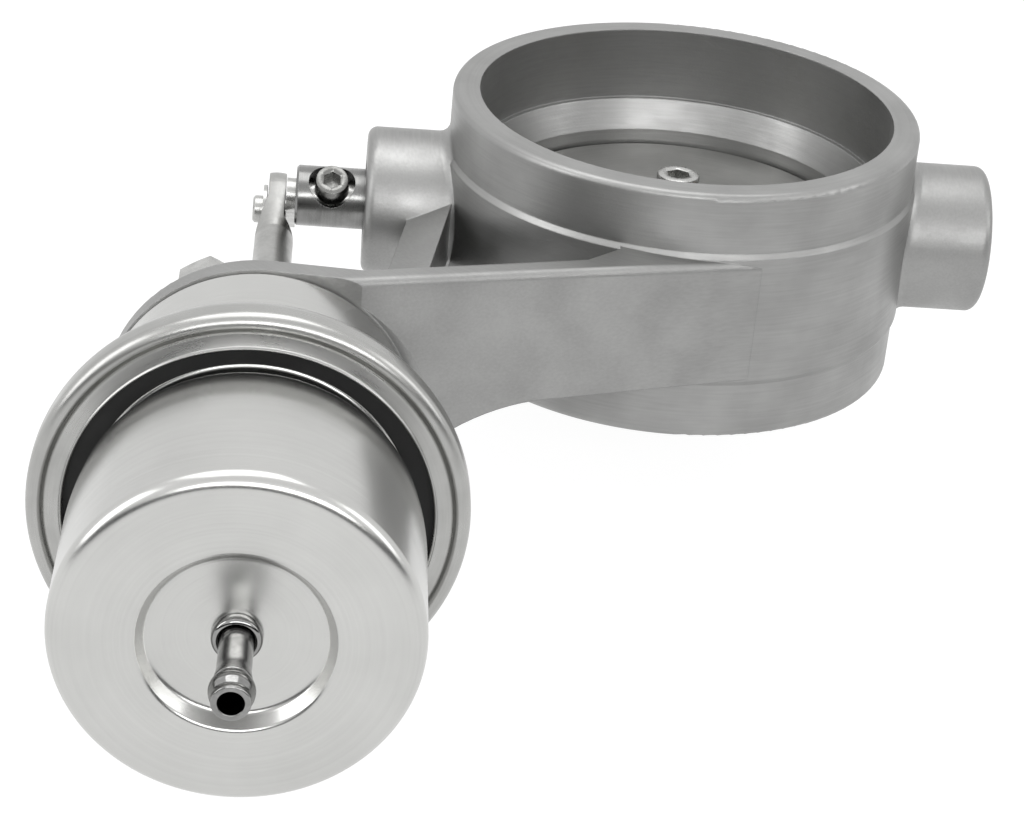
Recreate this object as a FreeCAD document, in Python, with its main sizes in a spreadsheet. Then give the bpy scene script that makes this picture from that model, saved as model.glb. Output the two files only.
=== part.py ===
import FreeCAD, Part
import math
import os

import Sketcher

# Exhaust cutout valve, in millimetres, valve closed and actuator at rest.
# The origin is the centre of the lower pipe socket's mouth. +Z runs up along the pipe,
# the valve shaft lies along X with its crank on the -X side, and the actuator points to -Y.

SIZES = {
    # pipe casting
    "tube_height": 47.0,
    "socket_radius": 38.3,
    "socket_depth": 14.0,
    "pipe_wall": 4.9,
    "band_proud": 0.6,
    "band_below": 12.0,
    "band_above": 11.6,
    "band_slope": 1.0,
    "end_round": 1.2,
    "ledge_width": 1.0,
    "throat_fall": 2.5,
    "throat_half": 4.0,
    # shaft bosses and what sits in them
    "boss_wall": 6.2,
    "boss_out": 14.9,
    "boss_round": 1.8,
    "boss_root_round": 2.0,
    "bush_wall": 1.85,
    "bush_start": 1.2,
    "blind_bore_end": 8.3,
    "seal_depth": 0.5,
    "seal_thick": 2.0,
    "press_gap": 0.02,
    "running_gap": 0.05,
    # shaft, disc and their screw
    "shaft_radius": 5.65,
    "shaft_out": 12.8,
    "shaft_end_gap": 0.8,
    "shaft_chamfer": 0.4,
    "disc_gap": 0.5,
    "disc_thick": 2.6,
    "disc_chamfer": 0.4,
    "disc_screw_radius": 2.5,
    "disc_head_rim": 1.5,
    "disc_head_height": 4.8,
    "disc_head_socket": 4.0,
    "disc_seat_depth": 1.05,
    "screw_in_shaft": 4.8,
    "screw_head_round": 0.5,
    # crank
    "pin_back": 10.8,
    "pin_drop": 8.1,
    "pin_radius": 2.6,
    "pin_tip": 1.9,
    "pin_shoulder": 0.6,
    "pin_groove_deep": 0.5,
    "web_thick": 1.7,
    "web_rim": 0.1,
    "stub_radius": 3.0,
    "stub_length": 13.0,
    "lever_screw_from_end": 6.6,
    "lever_screw_tilt": 52.0,
    "lever_screw_radius": 1.5,
    "lever_head_rim": 1.6,
    "lever_head_height": 4.1,
    "lever_head_socket": 3.0,
    "lever_seat_depth": 2.95,
    "counterbore_gap": 1.2,
    "clip_rim": 2.1,
    "clip_thick": 0.7,
    "clip_grip": 0.8,
    # actuator rod
    "rod_radius": 3.6,
    "eye_wall": 4.6,
    "eye_thick": 3.2,
    "eye_gap": 0.3,
    "eye_flat_length": 10.8,
    "clip_side_gap": 0.5,
    "eye_taper": 2.8,
    "rod_thread_radius": 3.0,
    # arm and flange that carry the actuator
    "actuator_drop": 11.25,
    "flange_ahead": 22.9,
    "flange_thick": 5.1,
    "flange_rim": 0.1,
    "flange_flare": 5.0,
    "flange_flare_round": 5.5,
    "arm_root_x": 11.0,
    "arm_root_sunk": 0.7,
    "arm_bend_gap": 16.0,
    "arm_pocket_x": 18.0,
    "arm_pocket_gap": 3.2,
    "arm_sunk": 4.0,
    "arm_round": 1.5,
    "arm_top_at_root": 11.0,
    "arm_bottom": 11.6,
    "arm_bottom_round": 34.0,
    "brace_gap": 6.0,
    "brace_width": 7.8,
    "brace_low": 6.0,
    "brace_top_left": 2.2,
    "brace_top_right": 5.6,
    "brace_start": 6.0,
    "brace_length": 54.0,
    "brace_lean": 8.5,
    "rod_hole_gap": 3.9,
    "stud_gap_to_can": 6.25,
    "stud_angle": 118.9,
    # actuator studs
    "stud_radius": 3.0,
    "stud_head_rim": 1.4,
    "stud_head_thick": 1.2,
    "stud_tail": 1.5,
    "stud_gap": 0.05,
    "washer_rim": 2.2,
    "washer_thick": 1.2,
    "washer_split": 1.0,
    "nut_flats": 10.0,
    "nut_thick": 5.0,
    # actuator cans and crimped rim
    "front_can_radius": 28.0,
    "front_can_length": 43.2,
    "rear_can_length": 30.7,
    "can_wall": 0.9,
    "rear_can_step": 2.1,
    "rear_can_round": 1.6,
    "waist_step": 3.4,
    "shoulder_step": 0.8,
    "shoulder_ahead": 8.4,
    "shoulder_round": 5.2,
    "taper_ahead": 14.7,
    "front_round": 2.3,
    "recess_slope": 1.6,
    "recess_depth": 2.6,
    "flange_sheet": 0.8,
    "rim_seal_thick": 0.8,
    "rim_seal_gap": 0.1,
    "rim_over": 7.0,
    "rim_wall": 3.0,
    "rim_back_step": 1.3,
    "rim_back_width": 4.0,
    "rim_roll": 1.7,
    "rim_roll_ahead": 3.8,
    "rim_roll_from": 40.0,
    "rim_channel_width": 3.7,
    "rim_channel_ahead": 4.1,
    "rim_channel_round": 3.4,
    "rim_lip_width": 5.8,
    "rim_lip_thick": 0.5,
    "rim_lip_ahead": 5.7,
    "rim_sheet": 0.8,
    # diaphragm, piston plates and spring
    "rubber_thick": 1.0,
    "rubber_gap": 0.3,
    "rubber_fold_back": 12.8,
    "rubber_fold_width": 2.8,
    "rubber_hole_gap": 0.6,
    "plate_back": 9.1,
    "plate_side_gap": 1.6,
    "plate_thick": 1.0,
    "plate_hub_wall": 2.0,
    "plate_gap": 2.4,
    "plate_lip": 4.0,
    "plate_lip_round": 0.8,
    "rod_nut_thick": 5.0,
    "rod_tail": 2.0,
    "spring_wire": 0.8,
    "spring_turns": 6.0,
    "spring_gap": 0.8,
    "spring_in_plate": 0.8,
    "spring_side_gap": 0.3,
    "spring_seat_thick": 0.8,
    "spring_seat_lip": 2.2,
    "recess_side_gap": 0.15,
    # vacuum nipple
    "nipple_radius": 2.6,
    "nipple_wall": 0.65,
    "nipple_reach": 15.6,
    "nipple_tail": 2.0,
    "collar_rim": 1.25,
    "collar_height": 1.8,
    "collar_round": 0.9,
    "barb_rise": 0.8,
    "barb_tip_rise": 0.35,
    "barb_cone_start": 8.2,
    "barb_cone_end": 5.4,
    "barb_cone_rise": 0.35,
    "barb_groove": 0.2,
    "barb_bulge_at": 3.3,
    "barb_round": 2.6,
    "barb_tip_start": 1.0,
    "barb_tip_chamfer": 0.35,
}

CLEAR = 1.0  # how far a cutting tool runs past the face that it cuts

doc = FreeCAD.newDocument("cutout_valve")
sheet = doc.addObject("Spreadsheet::Sheet", "Sizes")
pieces = []


class Size:
    """A length or an angle, with its value and the sheet expression that gives it."""

    def __init__(self, value, text=None):
        self.value = float(value)
        self.text = text if text else f"({self.value:.10g})"

    def joined(self, other, sign, value):
        other = as_size(other)
        return Size(value(self.value, other.value), f"({self.text} {sign} {other.text})")

    def __add__(self, other):
        return self.joined(other, "+", lambda a, b: a + b)

    def __sub__(self, other):
        return self.joined(other, "-", lambda a, b: a - b)

    def __mul__(self, other):
        return self.joined(other, "*", lambda a, b: a * b)

    def __truediv__(self, other):
        return self.joined(other, "/", lambda a, b: a / b)

    def __radd__(self, other):
        return as_size(other) + self

    def __rsub__(self, other):
        return as_size(other) - self

    def __rmul__(self, other):
        return as_size(other) * self

    def __neg__(self):
        return Size(-self.value, f"(0 - {self.text})")


def as_size(number):
    return number if isinstance(number, Size) else Size(number)


def root(size):
    return Size(math.sqrt(size.value), f"sqrt({size.text})")


def cosine(angle):
    angle = as_size(angle)
    return Size(math.cos(math.radians(angle.value)), f"cos({angle.text})")


def sine(angle):
    angle = as_size(angle)
    return Size(math.sin(math.radians(angle.value)), f"sin({angle.text})")


def slope_angle(rise, run):
    ratio = rise / run
    return Size(math.degrees(math.atan(ratio.value)), f"(atan({ratio.text}) / 1 deg)")


class Sizes:
    """The driving dimensions, read from the sheet by name."""

    def __init__(self, table):
        for row, (name, value) in enumerate(table.items(), start=1):
            sheet.set(f"A{row}", name)
            sheet.set(f"B{row}", str(value))
            sheet.setAlias(f"B{row}", name)
            setattr(self, name, Size(value, f"Sizes.{name}"))
        doc.recompute()


d = Sizes(SIZES)

# The sizes below follow from the named ones, so that pieces that sit in each other stay together.

# pipe casting, disc and bosses, from the pipe that the sockets take
d.collar_radius = d.socket_radius + d.pipe_wall
d.band_radius = d.collar_radius + d.band_proud
d.ledge_radius = d.socket_radius - d.ledge_width
d.throat_radius = d.ledge_radius - d.throat_fall
d.disc_radius = d.throat_radius - d.disc_gap
d.bore_radius = d.shaft_radius + d.bush_wall
d.boss_radius = d.bore_radius + d.boss_wall
d.boss_reach = d.collar_radius + d.boss_out
d.bore_end = d.collar_radius + d.blind_bore_end
d.bush_from = d.throat_radius + d.bush_start

# shaft, crank and pin, outwards from the boss
d.shaft_reach = d.boss_reach + d.shaft_out
d.disc_head_radius = d.disc_screw_radius + d.disc_head_rim
d.disc_seat_height = d.shaft_radius - d.disc_seat_depth
d.lever_head_radius = d.lever_screw_radius + d.lever_head_rim
d.lever_seat_height = d.shaft_radius - d.lever_seat_depth
d.counterbore_radius = d.lever_head_radius + d.counterbore_gap
d.web_half = d.stub_radius + d.web_rim
d.actuator_side = d.shaft_reach + d.web_thick + d.eye_gap + d.eye_thick / 2
d.clip_start = d.actuator_side + d.eye_thick / 2 + d.eye_gap
d.pin_end = d.clip_start + d.clip_thick + d.pin_tip
d.pin_neck = d.pin_radius - d.pin_shoulder
d.pin_groove = d.pin_radius - d.pin_groove_deep
d.clip_radius = d.pin_radius + d.clip_rim
d.clip_mouth = 2 * d.pin_groove - d.clip_grip
d.eye_radius = d.pin_radius + d.eye_wall
d.eye_taper_end = d.eye_flat_length + d.eye_taper
d.eye_clip_flat_end = d.clip_radius + d.clip_side_gap

# the actuator's radii, inwards and outwards from the front can
d.rear_can_radius = d.front_can_radius - d.rear_can_step
d.waist_radius = d.front_can_radius - d.waist_step
d.shoulder_radius = d.front_can_radius - d.shoulder_step
d.rim_radius = d.front_can_radius + d.rim_over
d.flange_sheet_radius = d.rim_radius - d.rim_wall
d.rim_back_radius = d.rim_radius - d.rim_back_step
d.rim_back_inner = d.rim_radius - d.rim_back_width
d.rim_channel_radius = d.rim_radius - d.rim_channel_width
d.rim_lip_radius = d.rim_radius - d.rim_lip_width
d.rim_seal_inner = d.waist_radius + d.can_wall + d.rim_seal_gap
d.rubber_wall_radius = d.waist_radius - d.can_wall - d.rubber_gap
d.rubber_fold_radius = d.rubber_wall_radius - d.rubber_fold_width
d.plate_radius = d.rubber_fold_radius - d.plate_side_gap
d.plate_hub_radius = d.rod_thread_radius + d.plate_hub_wall
d.rubber_hole_radius = d.plate_hub_radius + d.rubber_hole_gap
d.spring_radius = d.plate_radius - d.plate_thick - d.spring_in_plate - d.spring_wire
d.recess_radius = d.spring_radius - d.spring_wire - d.recess_side_gap - d.can_wall / 2
d.recess_floor_radius = d.recess_radius - d.recess_slope
d.flange_radius = d.rear_can_radius + d.flange_rim
d.rod_hole_radius = d.rod_radius + d.rod_hole_gap
d.stud_circle_radius = d.rear_can_radius - d.stud_gap_to_can
d.stud_head_radius = d.stud_radius + d.stud_head_rim
d.washer_radius = d.stud_radius + d.washer_rim

# places ahead of the shaft's plane, from the casting to the nipple's tip
d.flange_front = d.collar_radius + d.flange_ahead
d.rear_flange_start = d.flange_front + d.rear_can_length
d.front_face_at = d.rear_flange_start + d.front_can_length
d.shoulder_at = d.rear_flange_start + d.shoulder_ahead
d.front_can_start = d.rear_flange_start + d.taper_ahead
d.rim_roll_at = d.rear_flange_start + d.rim_roll_ahead
d.rim_channel_at = d.rear_flange_start + d.rim_channel_ahead
d.rim_lip_at = d.rear_flange_start + d.rim_lip_ahead
d.rubber_fold_at = d.rear_flange_start - d.rubber_fold_back
d.rod_to_plate = d.rear_flange_start + d.pin_back - d.plate_back
d.nipple_tip_at = d.front_face_at + d.nipple_reach
d.nipple_bore = d.nipple_radius - d.nipple_wall
d.nipple_bulge = d.nipple_radius + d.barb_rise
d.nipple_tip_radius = d.nipple_radius + d.barb_tip_rise
d.collar_of_nipple = d.nipple_radius + d.collar_rim

# the arm and its brace
d.arm_root_y = d.collar_radius - d.arm_root_sunk
d.arm_rear_bend_x = d.actuator_side - d.arm_bend_gap
d.arm_pocket_y = d.collar_radius + d.arm_pocket_gap
d.brace_left = d.collar_radius + d.brace_gap

# heights and directions that many pieces share
mid = d.tube_height / 2
actuator_height = mid - d.actuator_drop
rod_tilt = slope_angle(d.actuator_drop - d.pin_drop, d.rod_to_plate)


def bind(obj, **values):
    for name, value in values.items():
        obj.setExpression(name, as_size(value).text)


def move(obj, x, y, z):
    for axis, value in zip("xyz", (x, y, z)):
        obj.setExpression(f".Placement.Base.{axis}", as_size(value).text)


# Each frame is where a piece is built: its own Z is the axis that the piece is turned about.


def in_shaft_frame(obj, up=0, back=0, out=0):
    """Own Z points out along the shaft to the crank, own X up and own Y to the back."""
    obj.Placement = FreeCAD.Placement(FreeCAD.Vector(), FreeCAD.Rotation(FreeCAD.Vector(0, 1, 0), -90))
    move(obj, -as_size(out), back, mid + up)


def in_actuator_frame(obj, side=0, up=0, ahead=0):
    """Own Z points ahead along the actuator, from the plane of the valve shaft."""
    obj.Placement = FreeCAD.Placement(FreeCAD.Vector(), FreeCAD.Rotation(FreeCAD.Vector(1, 0, 0), 90))
    move(obj, side - d.actuator_side, -as_size(ahead), actuator_height + up)


def in_rod_frame(obj):
    """Own Z points ahead along the rod from its eye, which leans down to the actuator's axis."""
    obj.Placement = FreeCAD.Placement(FreeCAD.Vector(), FreeCAD.Rotation(FreeCAD.Vector(1, 0, 0), 90))
    move(obj, -d.actuator_side, d.pin_back, mid - d.pin_drop)
    obj.setExpression(".Placement.Rotation.Angle", (90 + rod_tilt).text)


def in_lever_screw_frame(obj, height=0):
    """Own Z points out along the lever screw, up and to the front from the shaft's axis."""
    obj.Placement = FreeCAD.Placement(FreeCAD.Vector(), FreeCAD.Rotation(FreeCAD.Vector(1, 0, 0), 90))
    obj.setExpression(".Placement.Rotation.Angle", (90 - d.lever_screw_tilt).text)
    height = as_size(height)
    move(
        obj,
        d.lever_screw_from_end - d.shaft_reach,
        -(height * cosine(d.lever_screw_tilt)),
        mid + height * sine(d.lever_screw_tilt),
    )


class Bend:
    """A corner of an outline that is reached by an arc, which bulges to the left or right."""

    def __init__(self, x, y, radius, left=True):
        self.x = x
        self.y = y
        self.radius = as_size(radius)
        self.left = left


def corner_point(corner):
    if isinstance(corner, Bend):
        return as_size(corner.x), as_size(corner.y)
    return as_size(corner[0]), as_size(corner[1])


def arc_between(start, end, bend):
    """The arc from start to end that starts a sketch solve on the right side of its chord."""
    chord = end - start
    reach = chord.Length / 2
    radius = max(bend.radius.value, reach)
    to_middle = (start + end) / 2
    across = FreeCAD.Vector(-chord.y, chord.x, 0).normalize()
    rise = radius - math.sqrt(radius**2 - reach**2)
    side = 1 if bend.left else -1
    return Part.Arc(start, to_middle + across * rise * side, end)


def draw_outline(sketch, corners):
    """Draws a closed outline, with each corner's place and each arc's radius bound to the sheet."""
    points = [corner_point(corner) for corner in corners]
    vectors = [FreeCAD.Vector(x.value, y.value, 0) for x, y in points]
    count = len(corners)
    edges = []
    for index, start in enumerate(vectors):
        end, corner = vectors[(index + 1) % count], corners[(index + 1) % count]
        curved = isinstance(corner, Bend)
        line = arc_between(start, end, corner) if curved else Part.LineSegment(start, end)
        edge = sketch.addGeometry(line, False)
        # a sketch counts an arc's ends counterclockwise, and an arc that bulges left runs the other way
        edges.append((edge, 2, 1) if curved and corner.left else (edge, 1, 2))
    for index, (edge, first, last) in enumerate(edges):
        next_edge, next_first, _ = edges[(index + 1) % count]
        sketch.addConstraint(Sketcher.Constraint("Coincident", edge, last, next_edge, next_first))
        hold(sketch, ("DistanceX", -1, 1, edge, first), points[index][0])
        hold(sketch, ("DistanceY", -1, 1, edge, first), points[index][1])
        corner = corners[(index + 1) % count]
        if isinstance(corner, Bend):
            hold(sketch, ("Radius", edge), corner.radius)


def hold(sketch, what, size):
    """Adds one dimension to a sketch and binds it to the sheet."""
    number = sketch.addConstraint(Sketcher.Constraint(*what, size.value))
    sketch.setExpression(f"Constraints[{number}]", size.text)


def sketch_in(body, name, role):
    """A sketch on one of the body's own origin planes."""
    sketch = body.newObject("Sketcher::SketchObject", name)
    plane = next(item for item in body.Origin.OriginFeatures if item.Role == role)
    sketch.AttachmentSupport = [(plane, "")]
    sketch.MapMode = "FlatFace"
    return sketch


def turned(name, corners):
    """A body turned about its own Z from an outline of (radius, height) corners."""
    body = doc.addObject("PartDesign::Body", name)
    sketch = sketch_in(body, f"{name}_profile", "XZ_Plane")
    draw_outline(sketch, corners)
    turn = body.newObject("PartDesign::Revolution", f"{name}_turn")
    turn.Profile = sketch
    turn.ReferenceAxis = (sketch, ["V_Axis"])
    turn.Angle = 360
    body.Tip = turn
    doc.recompute()
    return body


def plate(name, corners, thick, start=0):
    """A body padded along its own Z from an outline, from the given start."""
    body = doc.addObject("PartDesign::Body", name)
    sketch = sketch_in(body, f"{name}_outline", "XY_Plane")
    draw_outline(sketch, corners)
    sketch.setExpression(".AttachmentOffset.Base.z", as_size(start).text)
    pad = body.newObject("PartDesign::Pad", f"{name}_pad")
    pad.Profile = sketch
    bind(pad, Length=thick)
    body.Tip = pad
    doc.recompute()
    return body


def slab(name, corners, thick):
    """A body padded both ways across its own XZ plane from an outline drawn there."""
    body = doc.addObject("PartDesign::Body", name)
    sketch = sketch_in(body, f"{name}_outline", "XZ_Plane")
    draw_outline(sketch, corners)
    pad = body.newObject("PartDesign::Pad", f"{name}_pad")
    pad.Profile = sketch
    pad.Midplane = True
    bind(pad, Length=thick)
    body.Tip = pad
    doc.recompute()
    return body


def dress(body, kind, size, wanted):
    """Fillets or chamfers the body's edges that a test wants, leaving out seams."""
    base = body.Tip
    edges = enumerate(base.Shape.Edges, start=1)
    names = [f"Edge{number}" for number, edge in edges if wanted(edge)]
    feature = body.newObject(f"PartDesign::{kind}", f"{body.Name}_{kind.lower()}_{len(body.Group)}")
    feature.Base = (base, names)
    bind(feature, **{"Radius" if kind == "Fillet" else "Size": size})
    body.Tip = feature
    doc.recompute()


def dress_rings(body, kind, size, rings):
    """Dresses the circular edges of a turned body that lie at the given radius and height."""
    places = [(as_size(radius).value, as_size(height).value) for radius, height in rings]

    def wanted(edge):
        curve = edge.Curve
        return isinstance(curve, Part.Circle) and any(
            math.dist((curve.Radius, curve.Center.z), place) < 1e-4 for place in places
        )

    dress(body, kind, size, wanted)


def rod_tool(name, radius, start, end):
    """A plain cylinder along its own Z, to cut with or to add."""
    tool = doc.addObject("Part::Cylinder", name)
    bind(tool, Radius=radius, Height=as_size(end) - start)
    return tool


def fused(name, *shapes):
    joint = doc.addObject("Part::MultiFuse", name)
    joint.Shapes = list(shapes)
    joint.Refine = True
    return joint


def shared(name, *shapes):
    overlap = doc.addObject("Part::MultiCommon", name)
    overlap.Shapes = list(shapes)
    return overlap


def cut(name, base, *tools):
    """The base less its tools, which are fused first where there are several."""
    result = doc.addObject("Part::Cut", name)
    result.Base = base
    result.Tool = tools[0] if len(tools) == 1 else fused(f"{name}_tools", *tools)
    return result


def keep(piece, node):
    """Lists a finished piece under the name of its node."""
    piece.Label = node
    pieces.append((node, piece))


def hexagon(across_flats, turn=0):
    """The corners of a hexagon about the origin, the first one at the given angle."""
    corner = as_size(across_flats) / (2 * cosine(30))
    return [(corner * cosine(turn + 60 * step), corner * sine(turn + 60 * step)) for step in range(6)]


# The pipe casting: a short pipe with two sockets, a throat, the shaft's bosses and the actuator's arm.


def pipe_and_bosses():
    """The plain pipe with a boss across it, rounded at its ends and where they meet."""
    wide, high = d.collar_radius, d.tube_height
    pipe = turned("pipe_wall", [(0, 0), (wide, 0), (wide, high), (0, high)])
    sketch = sketch_in(pipe, "boss_outline", "YZ_Plane")
    circle = Part.Circle(FreeCAD.Vector(0, mid.value, 0), FreeCAD.Vector(0, 0, 1), 1)
    edge = sketch.addGeometry(circle, False)
    hold(sketch, ("DistanceX", -1, 1, edge, 3), as_size(0))
    hold(sketch, ("DistanceY", -1, 1, edge, 3), mid)
    hold(sketch, ("Radius", edge), d.boss_radius)
    boss = pipe.newObject("PartDesign::Pad", "boss_pad")
    boss.Profile = sketch
    boss.Midplane = True
    bind(boss, Length=2 * d.boss_reach)
    pipe.Tip = boss
    doc.recompute()

    def at_boss_root(edge):
        return not isinstance(edge.Curve, (Part.Line, Part.Circle))

    def at_boss_end(edge):
        return isinstance(edge.Curve, Part.Circle) and abs(edge.CenterOfMass.x) > d.collar_radius.value

    def at_pipe_end(edge):
        beyond_boss = abs(edge.CenterOfMass.z - mid.value) > d.boss_radius.value
        return isinstance(edge.Curve, Part.Circle) and beyond_boss

    dress(pipe, "Fillet", d.boss_root_round, at_boss_root)
    dress(pipe, "Fillet", d.boss_round, at_boss_end)
    dress(pipe, "Fillet", d.end_round, at_pipe_end)
    return pipe


def band():
    """The raised band round the middle of the pipe, with sloping shoulders."""
    low, high = mid - d.band_below, mid + d.band_above
    foot = d.collar_radius - CLEAR
    return turned(
        "band",
        [
            (foot, low - d.band_slope),
            (d.collar_radius, low - d.band_slope),
            (d.band_radius, low),
            (d.band_radius, high),
            (d.collar_radius, high + d.band_slope),
            (foot, high + d.band_slope),
        ],
    )


def flange_rear():
    return d.flange_front - d.flange_thick


def arm_from_above():
    """The arm's straight wall, which leaves the pipe as a tangent, and the flange beyond it."""
    rear = flange_rear()
    bend_x = d.actuator_side - d.flange_radius - d.flange_flare
    front_slope = (rear - d.arm_root_y) / (bend_x + d.arm_root_x)
    front_bend_x = bend_x + d.flange_thick / front_slope
    far_side = d.actuator_side + d.flange_radius + CLEAR
    reach = d.flange_radius + CLEAR
    return plate(
        "arm_from_above",
        [
            (d.arm_root_x, -d.arm_root_y),
            (-front_bend_x, -d.flange_front),
            (-far_side, -d.flange_front),
            (-far_side, -rear),
            (-d.arm_rear_bend_x, -rear),
            (-d.arm_pocket_x, -d.arm_pocket_y),
            (d.arm_sunk - d.arm_pocket_x, d.arm_sunk - d.arm_pocket_y),
            (d.arm_sunk - d.arm_pocket_x, d.arm_sunk - d.collar_radius),
            (d.arm_root_x, d.arm_sunk - d.collar_radius),
        ],
        2 * reach,
        actuator_height - reach,
    )


def arm_from_the_side():
    """The arm as seen along the actuator: a round flange and an arm that narrows to the pipe."""
    radius, bottom_round = d.flange_radius, d.arm_bottom_round
    root_x = d.actuator_side + d.arm_root_x
    bottom = d.actuator_drop - d.arm_bottom
    fall = bottom_round - bottom
    apart = radius + bottom_round
    run = root(apart * apart - fall * fall)
    outline = [
        (0, radius),
        Bend(-radius, 0, radius, left=False),
        Bend(radius * run / apart, -(radius * fall / apart), radius, left=False),
        Bend(run, bottom, bottom_round, left=True),
        (root_x, bottom),
        (root_x, d.actuator_drop + d.arm_top_at_root),
    ]
    inside = d.throat_radius
    side = plate("arm_from_the_side", outline, d.flange_front - inside + CLEAR, inside)
    in_actuator_frame(side)
    return side


def flange_flare():
    """The flange's thick edge, which runs out into the arm's front face in a hollow curve."""
    front, rear = d.flange_front, flange_rear()
    flare = turned(
        "flange_flare",
        [
            (0, rear),
            (d.flange_radius + d.flange_flare, rear),
            Bend(d.flange_radius, front, d.flange_flare_round, left=True),
            (0, front),
        ],
    )
    in_actuator_frame(flare)
    return flare


def arm_brace():
    """The slanting brace from the boss to the back of the arm."""
    section = doc.addObject("Sketcher::SketchObject", "arm_brace_section")
    right = d.brace_left - d.brace_width
    draw_outline(
        section,
        [
            (-d.brace_left, -d.brace_low),
            (-right, -d.brace_low),
            (-right, d.brace_top_right),
            (-d.brace_left, d.brace_top_left),
        ],
    )
    section.Placement = FreeCAD.Placement(FreeCAD.Vector(), FreeCAD.Rotation(FreeCAD.Vector(1, 0, 0), 90))
    move(section, 0, -d.brace_start, mid)
    brace = doc.addObject("Part::Extrusion", "arm_brace")
    brace.Base = section
    brace.DirMode = "Custom"
    brace.Solid = True
    brace.setExpression("Dir.x", (-sine(d.brace_lean)).text)
    brace.setExpression("Dir.y", (-cosine(d.brace_lean)).text)
    brace.setExpression("Dir.z", "0")
    bind(brace, LengthFwd=d.brace_length)
    return brace


def passage():
    """The way through the pipe: two sockets, each with a ledge, and a cone down to the throat."""
    top = d.tube_height
    return turned(
        "passage",
        [
            (0, -CLEAR),
            (d.socket_radius, -CLEAR),
            (d.socket_radius, d.socket_depth),
            (d.ledge_radius, d.socket_depth),
            (d.throat_radius, mid - d.throat_half),
            (d.throat_radius, mid + d.throat_half),
            (d.ledge_radius, top - d.socket_depth),
            (d.socket_radius, top - d.socket_depth),
            (d.socket_radius, top + CLEAR),
            (0, top + CLEAR),
        ],
    )


def stud_place(side):
    """Where a stud stands in the actuator's frame, for side 1 or -1."""
    return (
        side * (d.stud_circle_radius * cosine(d.stud_angle)),
        side * (d.stud_circle_radius * sine(d.stud_angle)),
    )


def body_from(shape, name):
    """A body that starts from another shape, so that its edges can be dressed."""
    body = doc.addObject("PartDesign::Body", name)
    body.BaseFeature = shape
    doc.recompute()
    return body


def arm():
    """The arm with its flange, rounded along its long edges and behind the flange."""
    rough = shared("arm_rough", fused("arm_solid", arm_from_above(), flange_flare()), arm_from_the_side())
    body = body_from(rough, "arm")

    def to_round(edge):
        spot = edge.CenterOfMass
        if isinstance(edge.Curve, Part.Circle):
            at_rear = abs(spot.y + flange_rear().value) < CLEAR
            return at_rear and edge.Length > math.pi * d.flange_radius.value
        along = edge.BoundBox.XLength > d.flange_radius.value / 2 and spot.y < -d.collar_radius.value
        return along and spot.z > mid.value and abs(edge.BoundBox.YLength) > CLEAR

    dress(body, "Fillet", d.arm_round, to_round)
    return body


def valve_body():
    casting = fused("casting", pipe_and_bosses(), band(), arm(), arm_brace())
    bore = rod_tool("shaft_bore", d.bore_radius, -d.bore_end, d.boss_reach + CLEAR)
    in_shaft_frame(bore, out=-d.bore_end)
    rear = flange_rear() - CLEAR
    rod_hole = rod_tool("rod_hole", d.rod_hole_radius, rear, d.flange_front + CLEAR)
    in_actuator_frame(rod_hole, ahead=rear)
    stud_holes = []
    for number, side in enumerate((1, -1), start=1):
        hole = rod_tool(f"stud_hole_{number}", d.stud_radius + d.stud_gap, rear, d.flange_front + CLEAR)
        across, up = stud_place(side)
        in_actuator_frame(hole, across, up, rear)
        stud_holes.append(hole)
    keep(cut("valve_casting", casting, passage(), bore, rod_hole, *stud_holes), "valve_body")


# The pieces on the shaft's axis.


def ring(name, outer, inner, start, end):
    return turned(name, [(inner, start), (outer, start), (outer, end), (inner, end)])


def bushes_and_seal():
    outer, inner = d.bore_radius - d.press_gap, d.shaft_radius + d.running_gap
    seal_end = d.boss_reach - d.seal_depth
    seal_start = seal_end - d.seal_thick
    for name, start, end in (
        ("left_bush", d.bush_from, seal_start),
        ("right_bush", -d.bore_end, -d.bush_from),
        ("shaft_seal", seal_start, seal_end),
    ):
        piece = ring(name, outer, inner, start, end)
        in_shaft_frame(piece)
        keep(piece, name)


def shaft():
    inner_end = d.shaft_end_gap - d.bore_end
    bar = turned(
        "shaft_bar",
        [(0, inner_end), (d.shaft_radius, inner_end), (d.shaft_radius, d.shaft_reach), (0, d.shaft_reach)],
    )
    ends = [(d.shaft_radius, inner_end), (d.shaft_radius, d.shaft_reach)]
    dress_rings(bar, "Chamfer", d.shaft_chamfer, ends)
    in_shaft_frame(bar)

    slot = doc.addObject("Part::Box", "disc_slot")
    half_slot = d.disc_radius + d.running_gap * 4
    slot_high = d.disc_thick + 2 * d.press_gap
    bind(slot, Length=2 * half_slot, Width=4 * d.shaft_radius, Height=slot_high)
    move(slot, -half_slot, -2 * d.shaft_radius, mid - slot_high / 2)

    seat = rod_tool("screw_seat", d.disc_head_radius + d.running_gap * 6, 0, d.shaft_radius)
    move(seat, 0, 0, mid + d.disc_seat_height)
    thread = rod_tool("disc_screw_hole", d.disc_screw_radius + d.running_gap, 0, 3 * d.shaft_radius)
    move(thread, 0, 0, mid - 1.5 * d.shaft_radius)

    socket = rod_tool("stub_socket", d.stub_radius + d.press_gap, 0, d.stub_length + d.shaft_end_gap + CLEAR)
    in_shaft_frame(socket, out=d.shaft_reach - d.stub_length - d.shaft_end_gap)
    counterbore = rod_tool("lever_counterbore", d.counterbore_radius, 0, 2 * d.shaft_radius)
    in_lever_screw_frame(counterbore, d.press_gap)
    tapped = rod_tool("lever_screw_hole", d.lever_screw_radius + d.running_gap, 0, 4 * d.shaft_radius)
    in_lever_screw_frame(tapped, -2 * d.shaft_radius)
    keep(cut("shaft_cut", bar, slot, seat, thread, socket, counterbore, tapped), "shaft")


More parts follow.
